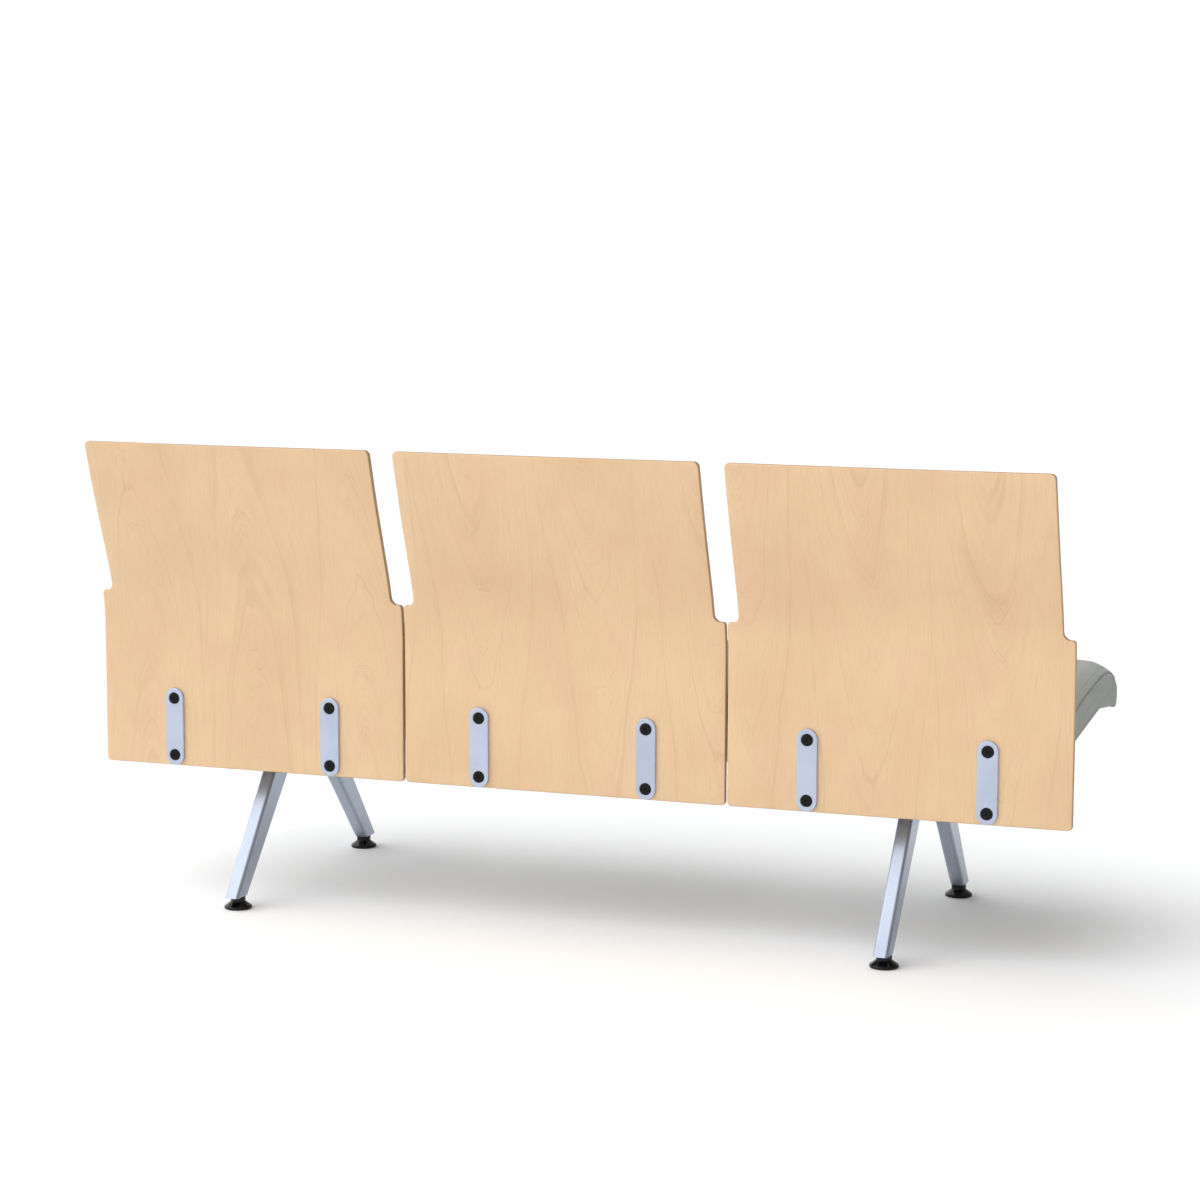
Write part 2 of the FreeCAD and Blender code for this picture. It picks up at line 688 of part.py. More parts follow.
def make_bracket(side, number, end):
    bracket = new_body(f"seat_bracket_{side}_{number}")
    saddle_top = f"({BEAM_TOP} + Sizes.saddle_thickness)"
    arm_front = f"(-{ARM_FRONT})"
    under = S["bracket_seat_flange"]
    web = new_sketch(bracket, "YZ_Plane", "bracket_web_outline")
    polygon(web, [
        ("-Sizes.saddle_length / 2", saddle_top), ("Sizes.saddle_length / 2", saddle_top),
        (FLANGE_FRONT, f"({FLANGE_FOOT} + Sizes.bracket_web)"),
        (FLANGE_FRONT, f"({FLANGE_HEAD} - Sizes.bracket_web)"),
        (ARM_REAR, seat_line(ARM_REAR, under)), (arm_front, seat_line(arm_front, under)),
    ])
    pad(bracket, web, S["bracket_web"], "bracket_web")
    arm = new_sketch(bracket, "YZ_Plane", "bracket_arm_outline")
    polygon(arm, [
        (arm_front, seat_line(arm_front, under)), (ARM_REAR, seat_line(ARM_REAR, under)),
        (ARM_REAR, seat_line(ARM_REAR)), (arm_front, seat_line(arm_front)),
    ])
    pad(bracket, arm, S["bracket_flange_width"], "bracket_arm")
    rear = new_sketch(bracket, "YZ_Plane", "bracket_rear_outline")
    rectangle(rear, FLANGE_FRONT, BACK_FRONT_OFFSET, FLANGE_FOOT, FLANGE_HEAD)
    pad(bracket, rear, S["bracket_flange_width"], "bracket_rear_flange")
    foot = new_sketch(bracket, "YZ_Plane", "bracket_saddle_outline")
    rectangle(
        foot, "-Sizes.saddle_length / 2", "Sizes.saddle_length / 2", BEAM_TOP, saddle_top,
    )
    saddle = pad(bracket, foot, S["saddle_width"], "bracket_saddle")
    half_flange = size("bracket_flange_width") / 2
    half_saddle = size("saddle_width") / 2

    def is_plate_corner(edge):
        """Upright corners of the saddle and level corners of the rear flange."""
        first, last = edge.Vertexes[0], edge.Vertexes[-1]
        if abs(first.X - last.X) > 1e-6:
            return False
        on_saddle = abs(abs(first.X) - half_saddle) < 1e-6
        on_flange = abs(abs(first.X) - half_flange) < 1e-6
        upright = abs(edge.Length - size("saddle_thickness")) < 1e-6
        level = abs(edge.Length - size("bracket_rear_flange")) < 1e-6
        return (on_saddle and upright) or (on_flange and level and is_level(edge))

    round_edges(bracket, saddle, S["bracket_corner"], is_plate_corner, "bracket_corners")
    back_holes = new_sketch(bracket, "XZ_Plane", "bracket_back_holes")
    back_holes.setExpression(
        ".AttachmentOffset.Base.z", f"-({FLANGE_FRONT} - Sizes.hole_clearance)",
    )
    for half in (-1, 1):
        circle(
            back_holes, "0",
            f"{STRAP_MIDDLE} + {half} * Sizes.back_screw_spacing / 2",
            "Sizes.back_screw_radius + Sizes.thread_fit",
        )
    pocket(
        bracket, back_holes, "bracket_threads",
        "Sizes.bracket_rear_flange + 2 * Sizes.hole_clearance", False,
    )
    seat_holes = new_sketch(bracket, "XY_Plane", "bracket_seat_holes")
    for distance in SEAT_SCREW_PLACES:
        for half in (-1, 1):
            circle(
                seat_holes, f"{half} * Sizes.seat_screw_spread / 2",
                f"{distance} * cos(Sizes.seat_tilt)"
                " - Sizes.bracket_seat_flange / 2 * sin(Sizes.seat_tilt)",
                "Sizes.seat_screw_radius + Sizes.seat_screw_slack",
            )
    for half in (-1, 1):
        circle(
            seat_holes, f"{half} * Sizes.saddle_bolt_spacing / 2", "0",
            "Sizes.small_bolt_radius + Sizes.hole_clearance",
        )
    pocket(bracket, seat_holes, "bracket_seat_and_saddle_holes")
    nodes.append(place(bracket, bracket_x(side, end), S["beam_axis_y"]))


def make_bracket_bolts(side, bolt, nut):
    """Two bolts down through each saddle into nuts under the beam's top wall."""
    spots = []
    head_seat = f"{BEAM_TOP} + Sizes.saddle_thickness"
    nut_seat = f"{BEAM_TOP} - Sizes.beam_wall"
    for end in (-1, 1):
        for half in (-1, 1):
            x = f"{bracket_x(side, end)} + {half} * Sizes.saddle_bolt_spacing / 2"
            spots.append((bolt, x, S["beam_axis_y"], head_seat, UPRIGHT))
            spots.append((nut, x, S["beam_axis_y"], nut_seat, FACING_DOWN))
    nodes.append(copies(f"bracket_bolts_{side}", spots))


# Moulded plywood backs: upright below, leaning back above a wide bend
def back_section(x):
    """Cross-section of the moulding in a plane across X, closed by four sides.

    The rear line is an upright, an arc round a centre behind it, a leaning straight
    and a wide arc round a centre in front; the front line lies one thickness ahead.
    Towards the sides the lean eases, which bows the upper part in plan.
    """
    thickness = size("back_thickness")
    rear = size("back_rear_offset")
    bottom = value(BACK_BOTTOM)
    start = bottom + size("back_bend_rise")
    bend = size("back_bend_radius")
    sweep = size("back_sweep_radius")
    sweep_start = bottom + size("back_sweep_rise")
    top = bottom + size("back_height") + thickness
    share = (x / (value(BACK_WIDTH) / 2 - size("back_step"))) ** 2
    lean = math.radians(size("back_lean") + size("back_bow_lean") * (1 - share))
    bend_y = rear + bend
    tangent_y = bend_y - bend * math.cos(lean)
    tangent_z = start + bend * math.sin(lean)
    joint_y = tangent_y + (sweep_start - tangent_z) * math.tan(lean)
    sweep_y = joint_y - sweep * math.cos(lean)
    sweep_z = sweep_start + sweep * math.sin(lean)
    top_turn = math.asin((sweep_z - top) / sweep)

    def on_bend(radius, angle):
        return Vector(x, bend_y - radius * math.cos(angle), start + radius * math.sin(angle))

    def on_sweep(radius, angle):
        return Vector(x, sweep_y + radius * math.cos(angle), sweep_z - radius * math.sin(angle))

    def line_edges(offset):
        low = Vector(x, rear - offset, bottom - thickness)
        first = on_bend(bend + offset, 0)
        middle = on_bend(bend + offset, lean / 2)
        last = on_bend(bend + offset, lean)
        sweep_first = on_sweep(sweep - offset, lean)
        sweep_middle = on_sweep(sweep - offset, (lean + top_turn) / 2)
        sweep_last = on_sweep(sweep - offset, top_turn)
        return [
            Part.LineSegment(low, first).toShape(),
            Part.Arc(first, middle, last).toShape(),
            Part.LineSegment(last, sweep_first).toShape(),
            Part.Arc(sweep_first, sweep_middle, sweep_last).toShape(),
        ]

    rear_edges = line_edges(0)
    front_edges = line_edges(thickness)
    top_edge = Part.LineSegment(
        rear_edges[-1].lastVertex().Point, front_edges[-1].lastVertex().Point,
    ).toShape()
    bottom_edge = Part.LineSegment(
        front_edges[0].firstVertex().Point, rear_edges[0].firstVertex().Point,
    ).toShape()
    return Part.Wire(Part.__sortEdges__(rear_edges + [top_edge] + front_edges + [bottom_edge]))


def rounded_outline(corners):
    """Closed face in the XZ plane with every corner (x, z, radius) rounded by an arc."""
    edges = []
    count = len(corners)
    joints = []
    for i, (x, z, radius) in enumerate(corners):
        here = Vector(x, 0, z)
        before = Vector(corners[i - 1][0], 0, corners[i - 1][1])
        after = Vector(corners[(i + 1) % count][0], 0, corners[(i + 1) % count][1])
        back = (before - here).normalize()
        on = (after - here).normalize()
        bisector = (back + on).normalize()
        half = back.getAngle(on) / 2
        reach = radius / math.tan(half)
        centre = here + bisector * (radius / math.sin(half))
        middle = centre - bisector * radius
        joints.append((here + back * reach, middle, here + on * reach))
    for i, (arc_start, middle, arc_end) in enumerate(joints):
        edges.append(Part.Arc(arc_start, middle, arc_end).toShape())
        following = joints[(i + 1) % count][0]
        edges.append(Part.LineSegment(arc_end, following).toShape())
    return Part.Face(Part.Wire(edges))


def back_shape():
    """Moulding lofted across the panel, trimmed to its stepped outline and drilled."""
    half = value(BACK_WIDTH) / 2
    upper = half - size("back_step")
    stations = [-1, -2 / 3, -1 / 3, 0, 1 / 3, 2 / 3, 1]
    moulding = Part.makeLoft([back_section(s * (half + 1)) for s in stations], True, False)
    bottom = value(BACK_BOTTOM)
    shoulder = bottom + size("back_shoulder_rise")
    top = bottom + size("back_height")
    foot_round = size("back_bottom_corner")
    step_round = size("back_shoulder_corner")
    notch = size("back_notch_corner")
    head_round = size("back_top_corner")
    right = [
        (half, bottom, foot_round), (half, shoulder, step_round),
        (upper, shoulder, notch), (upper, top, head_round),
    ]
    left = [(-x, z, r) for x, z, r in reversed(right)]
    outline = rounded_outline(right + left)
    prism = outline.extrude(Vector(0, top, 0))
    panel = moulding.common(prism)
    rim = [edge for edge in panel.Edges if not is_inner_edge(edge)]
    rounded = panel.makeFillet(size("back_edge_round"), rim)
    reach = size("back_rear_offset") + 1
    drill = size("back_screw_radius") + size("hole_clearance")
    for end in (-1, 1):
        for half_step in (-1, 1):
            spot = Vector(
                end * size("bracket_spacing") / 2, 0,
                value(STRAP_MIDDLE) + half_step * size("back_screw_spacing") / 2,
            )
            rounded = rounded.cut(Part.makeCylinder(drill, reach, spot, Vector(0, 1, 0)))
    return rounded


def is_inner_edge(edge):
    """True for edges that run from face to face, and for seams inside the two faces."""
    box = edge.BoundBox
    margin = 1.5 * size("back_thickness")
    low = value(BACK_BOTTOM) + margin
    high = value(BACK_BOTTOM) + size("back_height") - margin
    through = edge.Length < 1.6 * size("back_thickness")
    widest_step = 3 * size("back_step")
    seam = box.XLength > value(BACK_WIDTH) - widest_step and low < box.ZMin < high
    return through or seam


def make_back(side, shape):
    back = doc.addObject("Part::Feature", f"back_panel_{side}")
    back.Label = f"back_panel_{side}"
    back.Shape = shape
    nodes.append(place(back, seat_x(side), S["beam_axis_y"]))


# Straps: obround plates that the back screws pull against the plywood
def make_strap(side, number, end):
    strap = new_body(f"strap_plate_{side}_{number}")
    outline = new_sketch(strap, "XZ_Plane", "strap_outline")
    half_width = size("strap_width") / 2
    straight = value(STRAP_LENGTH) / 2 - half_width
    up = Vector(0, straight, 0)
    normal = Vector(0, 0, 1)
    top_arc = Part.ArcOfCircle(Part.Circle(up, normal, half_width), 0, math.pi)
    low_arc = Part.ArcOfCircle(Part.Circle(up * -1, normal, half_width), math.pi, 2 * math.pi)
    left_low = Vector(-half_width, -straight, 0)
    right_low = Vector(half_width, -straight, 0)
    left_top = Vector(-half_width, straight, 0)
    right_top = Vector(half_width, straight, 0)
    outline.addGeometry(top_arc, False)
    outline.addGeometry(Part.LineSegment(left_top, left_low), False)
    outline.addGeometry(low_arc, False)
    outline.addGeometry(Part.LineSegment(right_low, right_top), False)
    for line in range(4):
        outline.addConstraint(Sketcher.Constraint("Tangent", line, 2, (line + 1) % 4, 1))
    bind(outline, "Radius", (0,), "Sizes.strap_width / 2")
    pin(outline, 0, 3, "0", f"({STRAP_LENGTH} - Sizes.strap_width) / 2")
    pin(outline, 2, 3, "0", f"-({STRAP_LENGTH} - Sizes.strap_width) / 2")
    plate = pad(strap, outline, S["strap_thickness"], "strap_block", False, True)
    face = size("strap_thickness")
    round_edges(
        strap, plate, S["strap_edge_round"],
        lambda e: all(abs(v.Y - face) < 1e-6 for v in e.Vertexes), "strap_softened",
    )
    through = new_sketch(strap, "XZ_Plane", "strap_holes")
    for half in (-1, 1):
        circle(
            through, "0", f"{half} * Sizes.back_screw_spacing / 2",
            "Sizes.back_screw_radius + Sizes.hole_clearance",
        )
    pocket(strap, through, "strap_through_holes")
    sink = new_sketch(strap, "XZ_Plane", "strap_sinks")
    sink.setExpression(
        ".AttachmentOffset.Base.z",
        "-(Sizes.strap_thickness - Sizes.back_screw_recess - Sizes.back_screw_head)",
    )
    for half in (-1, 1):
        circle(
            sink, "0", f"{half} * Sizes.back_screw_spacing / 2",
            "Sizes.back_screw_head_radius + Sizes.head_clearance",
        )
    sunk = pocket(strap, sink, "strap_sunk", S["strap_thickness"], False)
    sink_radius = size("back_screw_head_radius") + size("head_clearance")
    round_edges(
        strap, sunk, S["strap_sink_bevel"],
        lambda e: hasattr(e.Curve, "Radius") and abs(e.Curve.Radius - sink_radius) < 1e-6
        and abs(e.Vertexes[0].Y - face) < 1e-6,
        "strap_sink_bevels", "Chamfer",
    )
    nodes.append(place(
        strap, bracket_x(side, end), "Sizes.beam_axis_y + Sizes.back_rear_offset",
        STRAP_MIDDLE,
    ))


def make_back_screws(side, screw):
    spots = []
    face = f"Sizes.beam_axis_y + {STRAP_FACE} - Sizes.back_screw_recess"
    for end in (-1, 1):
        for half in (-1, 1):
            z = f"{STRAP_MIDDLE} + {half} * Sizes.back_screw_spacing / 2"
            spots.append((screw, bracket_x(side, end), face, z, FACING_REAR))
    nodes.append(copies(f"back_screws_{side}", spots))


# Seat pans: flat boards that lie on the arms of the brackets, at the seat's slope
def make_pan(side):
    pan = new_body(f"seat_pan_{side}")
    outline = new_sketch(pan, "XY_Plane", "pan_outline")
    rectangle(outline, f"-{PAN_WIDTH} / 2", f"{PAN_WIDTH} / 2", f"-{PAN_FRONT}", PAN_REAR)
    board = pad(pan, outline, S["pan_thickness"], "pan_board", False)
    round_edges(
        pan, board, S["pan_corner"],
        lambda e: abs(e.Length - size("pan_thickness")) < 1e-6, "pan_corners",
    )
    holes = new_sketch(pan, "XY_Plane", "pan_screw_holes")
    for end in (-1, 1):
        for distance in SEAT_SCREW_PLACES:
            for half in (-1, 1):
                circle(
                    holes,
                    f"{end} * Sizes.bracket_spacing / 2 + {half} * Sizes.seat_screw_spread / 2",
                    distance, "Sizes.seat_screw_radius + Sizes.thread_fit",
                )
    pocket(
        pan, holes, "pan_holes_cut",
        "Sizes.seat_screw_length - Sizes.bracket_seat_flange + 2 * Sizes.pan_fit", False, True,
    )
    place(pan, seat_x(side), S["beam_axis_y"], SEAT_UNDERSIDE)
    pan.setExpression(".Placement.Rotation.Axis.x", "1")
    pan.setExpression(".Placement.Rotation.Axis.z", "0")
    pan.setExpression(".Placement.Rotation.Angle", "-Sizes.seat_tilt")
    nodes.append(pan)


def make_seat_screws(side, screw):
    """Screws up through the arms of a seat's two brackets, square to its pan."""
    tilt = math.radians(size("seat_tilt"))
    drop = "(Sizes.bracket_seat_flange * cos(Sizes.seat_tilt) + Sizes.seat_screw_head)"
    rotation = turn(ALONG_X, 180 - math.degrees(tilt))
    spots = []
    for end in (-1, 1):
        for distance in SEAT_SCREW_PLACES:
            for half in (-1, 1):
                x = f"{bracket_x(side, end)} + {half} * Sizes.seat_screw_spread / 2"
                y = (
                    f"Sizes.beam_axis_y + {distance} * cos(Sizes.seat_tilt)"
                    f" - {drop} * sin(Sizes.seat_tilt)"
                )
                z = (
                    f"{SEAT_UNDERSIDE} - {distance} * sin(Sizes.seat_tilt)"
                    f" - {drop} * cos(Sizes.seat_tilt)"
                )
                spots.append((screw, x, y, z, rotation))
    nodes.append(copies(f"seat_screws_{side}", spots))


# Seat cushions: crowned pads with drawn-in sides and a lip that hangs over the front
def cushion_section(x, inset, crown):
    """Closed side profile of the cushion in a plane across X.

    The underside follows the pan to the lip and drops along it to the nose. The top
    comes back over brow, shoulder and crest. The crown lifts it, and the inset draws
    the whole outline in towards a side.
    """
    slope = math.tan(math.radians(size("seat_tilt")))
    lift = crown - inset
    under_draw = inset / 2
    roll = size("cushion_corner")
    small_roll = roll / 2
    bulge = 1 - math.sqrt(0.5)

    def under(y):
        return value(SEAT_UNDERSIDE) - slope * y

    def point(y, z):
        return Vector(x, y, z)

    front = -size("cushion_front")
    rear = value(CUSHION_REAR) - inset
    rear_height = under(value(CUSHION_REAR)) + size("cushion_rear_height") + lift
    crest_y = front + size("cushion_crest_setback")
    crest = point(crest_y, under(crest_y) + size("cushion_crest_height") + lift)
    saddle = point(0, under(0) + size("cushion_saddle_height") + lift)
    rear_top = point(rear - roll, rear_height)
    rear_top_middle = point(rear - roll * bulge, rear_height - roll * bulge)
    rear_high = point(rear, rear_height - roll)
    foot = under(rear) + under_draw
    rear_low = point(rear, foot + small_roll)
    rear_foot_middle = point(rear - small_roll * bulge, foot + small_roll * bulge)
    rear_foot = point(rear - small_roll, under(rear - small_roll) + under_draw)
    lip_y = front + size("cushion_lip_setback")
    lip_start = point(lip_y, under(lip_y) + under_draw)
    lip_low = under(lip_y) - size("cushion_lip_drop")
    lip_end = point(front + size("cushion_lip_end_setback"), lip_low + under_draw)
    nose_y = front + inset
    nose_roll = size("cushion_nose_roll")
    nose_rise = size("cushion_nose_rise") - under_draw
    nose_start = point(nose_y + nose_roll, lip_low + under_draw)
    nose_middle = point(
        nose_y + nose_roll * bulge, lip_low + under_draw + nose_rise * bulge,
    )
    nose = point(nose_y, lip_low + size("cushion_nose_rise"))
    brow = point(
        nose_y + size("cushion_brow_setback"),
        lip_low + size("cushion_brow_rise") + lift / 3,
    )
    shoulder_y = front + size("cushion_shoulder_setback")
    shoulder = point(
        shoulder_y + inset / 2,
        under(shoulder_y) + size("cushion_shoulder_height") + lift,
    )
    return Part.Wire([
        Part.LineSegment(rear_foot, lip_start).toShape(),
        Part.LineSegment(lip_start, lip_end).toShape(),
        Part.LineSegment(lip_end, nose_start).toShape(),
        Part.Arc(nose_start, nose_middle, nose).toShape(),
        Part.LineSegment(nose, brow).toShape(),
        Part.Arc(brow, shoulder, crest).toShape(),
        Part.Arc(crest, saddle, rear_top).toShape(),
        Part.Arc(rear_top, rear_top_middle, rear_high).toShape(),
        Part.LineSegment(rear_high, rear_low).toShape(),
        Part.Arc(rear_low, rear_foot_middle, rear_foot).toShape(),
    ])


def cushion_shape():
    """Crowned form lofted from side to side, with a bed for the pan cut into it."""
    half = value(CUSHION_WIDTH) / 2
    draw_in = size("cushion_draw_in")
    crown = size("cushion_crown")
    stations = [
        (half, draw_in, 0), (half - 0.2 * draw_in, 0.6 * draw_in, 0),
        (half - 0.7 * draw_in, 0.25 * draw_in, 0.05 * crown),
        (half - 2.2 * draw_in, 0, 0.45 * crown), (half / 2, 0, 0.9 * crown), (0, 0, crown),
    ]
    right = [cushion_section(x, inset, rise) for x, inset, rise in stations]
    left = [cushion_section(-x, inset, rise) for x, inset, rise in reversed(stations[:-1])]
    form = Part.makeLoft(right + left, True, False)
    return form.cut(pan_bed())


def pan_bed():
    """Room for the pan: it lies against the pan's top and stays clear of its edges.

    Behind the lip the bed is open below; in front the lip closes under the board.
    """
    fit = size("pan_fit")
    open_depth = 2 * size("cushion_corner")
    width = value(PAN_WIDTH) + 2 * fit
    length = value(PAN_FRONT) + value(PAN_REAR) + 2 * fit
    height = open_depth + size("pan_thickness")
    low = Vector(-width / 2, -value(PAN_FRONT) - fit, -open_depth)
    bed = Part.makeBox(width, length, height, low)
    bed = bed.makeFillet(size("pan_corner") + fit, [
        edge for edge in bed.Edges if abs(edge.Length - height) < 1e-6
    ])
    lip_length = value(PAN_FRONT) + fit - value(LIP_START)
    bed = bed.cut(Part.makeBox(width, lip_length, open_depth - fit, low))
    bed.rotate(Vector(0, 0, 0), Vector(1, 0, 0), -size("seat_tilt"))
    bed.translate(Vector(0, 0, value(SEAT_UNDERSIDE)))
    return bed


def make_cushion(side, shape):
    cushion = doc.addObject("Part::Feature", f"seat_cushion_{side}")
    cushion.Label = f"seat_cushion_{side}"
    cushion.Shape = shape
    nodes.append(place(cushion, seat_x(side), S["beam_axis_y"]))


# Master forms of the repeated fasteners
small_bolt = make_bolt_form(
    "small_bolt_form", S["small_bolt_radius"], S["small_bolt_flats"], S["small_bolt_head"],
    "Sizes.saddle_thickness + Sizes.beam_wall + Sizes.small_nut_height + Sizes.bolt_tail",
)
small_nut = make_nut_form(
    "small_nut_form", S["small_bolt_radius"], S["small_bolt_flats"], S["small_nut_height"],
)
large_bolt = make_bolt_form(
    "large_bolt_form", S["large_bolt_radius"], S["large_bolt_flats"], S["large_bolt_head"],
    f"2 * {CHEEK_FACE} + Sizes.large_nut_height + Sizes.bolt_tail",
)
large_nut = make_nut_form(
    "large_nut_form", S["large_bolt_radius"], S["large_bolt_flats"], S["large_nut_height"],
)
back_screw = make_screw_form(
    "back_screw_form", S["back_screw_head_radius"], S["back_screw_head"],
    S["back_screw_radius"],
    "Sizes.strap_thickness - Sizes.back_screw_recess + Sizes.back_thickness"
    " + Sizes.bracket_rear_flange",
    S["back_screw_socket"], S["back_screw_socket_depth"],
)
seat_screw = make_screw_form(
    "seat_screw_form", S["seat_screw_head_radius"], S["seat_screw_head"],
    S["seat_screw_radius"], "Sizes.seat_screw_head + Sizes.seat_screw_length",
    "Sizes.seat_screw_radius", "Sizes.seat_screw_head / 2",
)

# Assembly
make_beam()
for side in ("left", "right"):
    make_beam_cap(side)
    for end in ENDS:
        make_leg(end, side)
        make_cheek(end, side)
        make_leg_plug(end, side)
        make_glide_base(end, side)
        make_glide_stud(end, side)
    make_leg_bolts(side, large_bolt, large_nut)
panel = back_shape()
pad_form = cushion_shape()
for side in SIDES:
    for number, end in ((1, 1), (2, -1)):
        make_bracket(side, number, end)
        make_strap(side, number, end)
    make_bracket_bolts(side, small_bolt, small_nut)
    make_back(side, panel)
    make_back_screws(side, back_screw)
    make_pan(side)
    make_seat_screws(side, seat_screw)
    make_cushion(side, pad_form)

doc.recompute()
for item in doc.Objects:
    if "Invalid" in item.State or "Error" in item.State:
        raise RuntimeError(f"{item.Label} failed: {item.State}")
for node in nodes:
    if node.Shape.isNull() or not node.Shape.isValid():
        raise RuntimeError(f"{node.Label} has no valid shape")

os.makedirs("parts", exist_ok=True)
for node in nodes:
    node.Shape.exportStep(f"parts/{node.Label}.step")
    box = node.Shape.BoundBox
    print(
        f"{node.Label}: {len(node.Shape.Solids)} solid(s), {node.Shape.Volume / 1000:.1f} cm3, "
        f"{box.XLength:.1f} x {box.YLength:.1f} x {box.ZLength:.1f} mm"
    )
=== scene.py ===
# %% [markdown]
# Three-seat beam bench, dressed for a product picture.
# A frame of exact solids comes in first: beam, legs, brackets, straps, screws and glides. The
# soft and wooden pieces are then made here as surfaces worked out with numpy, because a
# cushion's fullness and a panel's plies need more than a plain solid can hold. Everything is in
# metres, in the frame of the solids: X along the beam, seats facing -Y, Z up from the floor.

import json
import math

import bmesh
import bpy
import numpy as np
from mathutils import Matrix, Vector


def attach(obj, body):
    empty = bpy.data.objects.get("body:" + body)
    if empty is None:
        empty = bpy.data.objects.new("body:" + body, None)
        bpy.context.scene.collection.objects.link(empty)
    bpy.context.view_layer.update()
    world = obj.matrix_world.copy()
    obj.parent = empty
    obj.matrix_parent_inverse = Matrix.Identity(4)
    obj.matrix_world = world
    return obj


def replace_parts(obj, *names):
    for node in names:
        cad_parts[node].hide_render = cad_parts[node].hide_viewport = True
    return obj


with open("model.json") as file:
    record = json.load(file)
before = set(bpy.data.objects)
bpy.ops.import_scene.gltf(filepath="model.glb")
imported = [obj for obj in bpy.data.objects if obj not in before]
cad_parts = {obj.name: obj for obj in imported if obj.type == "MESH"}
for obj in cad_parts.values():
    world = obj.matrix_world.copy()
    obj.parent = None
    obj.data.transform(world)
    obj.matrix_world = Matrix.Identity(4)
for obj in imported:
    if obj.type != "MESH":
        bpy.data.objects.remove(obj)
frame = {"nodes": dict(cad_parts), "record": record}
nodes = frame["nodes"]
bpy.context.view_layer.update()
MM = 0.001
SEATS = {"left": 0.6, "middle": 0.0, "right": -0.6}
BEAM_Y = -6.27 * MM

# %% [markdown]
# The camera stands behind the bench, near the sitter's right-hand end and a little above the
# backs. A camera in Blender looks along its own -Z with +Y up, so its matrix is built from
# three directions: right, up and the reverse of the line of sight. A long lens keeps the three
# backs nearly parallel, as in the picture that the bench is made from.

# %% Camera
CAMERA_SPOT = Vector((-1.80211607, 5.01772736, 1.27794549))
YAW, PITCH, ROLL = -0.34524667, 0.134648676, 0.00289641546
FOCAL_PIXELS = 2990.01244
PICTURE = 1200

level = Vector((-math.sin(YAW), -math.cos(YAW), 0))
side = Vector((-math.cos(YAW), math.sin(YAW), 0))
ahead = level * math.cos(PITCH) - Vector((0, 0, math.sin(PITCH)))
above = level * math.sin(PITCH) + Vector((0, 0, math.cos(PITCH)))
right = side * math.cos(ROLL) + above * math.sin(ROLL)
upward = above * math.cos(ROLL) - side * math.sin(ROLL)

lens = bpy.data.cameras.new("bench_camera")
lens.sensor_fit = "HORIZONTAL"
lens.sensor_width = 36
lens.lens = FOCAL_PIXELS / PICTURE * lens.sensor_width
lens.shift_x = -0.5 / PICTURE
lens.shift_y = 0.5 / PICTURE
lens.clip_end = 200
camera = bpy.data.objects.new("bench_camera", lens)
camera.matrix_world = Matrix((
    (right[0], upward[0], -ahead[0], CAMERA_SPOT[0]),
    (right[1], upward[1], -ahead[1], CAMERA_SPOT[1]),
    (right[2], upward[2], -ahead[2], CAMERA_SPOT[2]),
    (0, 0, 0, 1),
))
bpy.context.scene.collection.objects.link(camera)
bpy.context.scene.camera = camera
print("lens", round(lens.lens, 2), "mm")

# %% [markdown]
# Shader maths reads best as plain arithmetic. A Signal wraps one output socket, so that
# a * 2 + b adds the Math nodes for it. A Finish wraps a material, and its node method adds any
# other node from a type, its settings and its inputs. The alternative, linking every socket by
# hand, takes five lines for each sum.

# %% Signals and finishes
class Signal:
    """One output of a finish's nodes; arithmetic on it adds Math nodes."""

    def __init__(self, finish, socket):
        self.finish = finish
        self.socket = socket

    def math(self, operation, *values):
        inputs = dict(enumerate(values))
        return self.finish.node("ShaderNodeMath", {"operation": operation}, inputs)

    def __add__(self, other):
        return self.math("ADD", self, other)

    def __radd__(self, other):
        return self.math("ADD", other, self)

    def __sub__(self, other):
        return self.math("SUBTRACT", self, other)

    def __rsub__(self, other):
        return self.math("SUBTRACT", other, self)

    def __mul__(self, other):
        return self.math("MULTIPLY", self, other)

    def __rmul__(self, other):
        return self.math("MULTIPLY", other, self)

    def __truediv__(self, other):
        return self.math("DIVIDE", self, other)

    def __pow__(self, other):
        return self.math("POWER", self, other)

    def __mod__(self, other):
        return self.math("FLOORED_MODULO", self, other)

    def within(self, low, high):
        """Rises smoothly from 0 at low to 1 at high, and stays there."""
        return self.finish.node(
            "ShaderNodeMapRange", {"interpolation_type": "SMOOTHSTEP"},
            {"Value": self, "From Min": low, "From Max": high},
        )


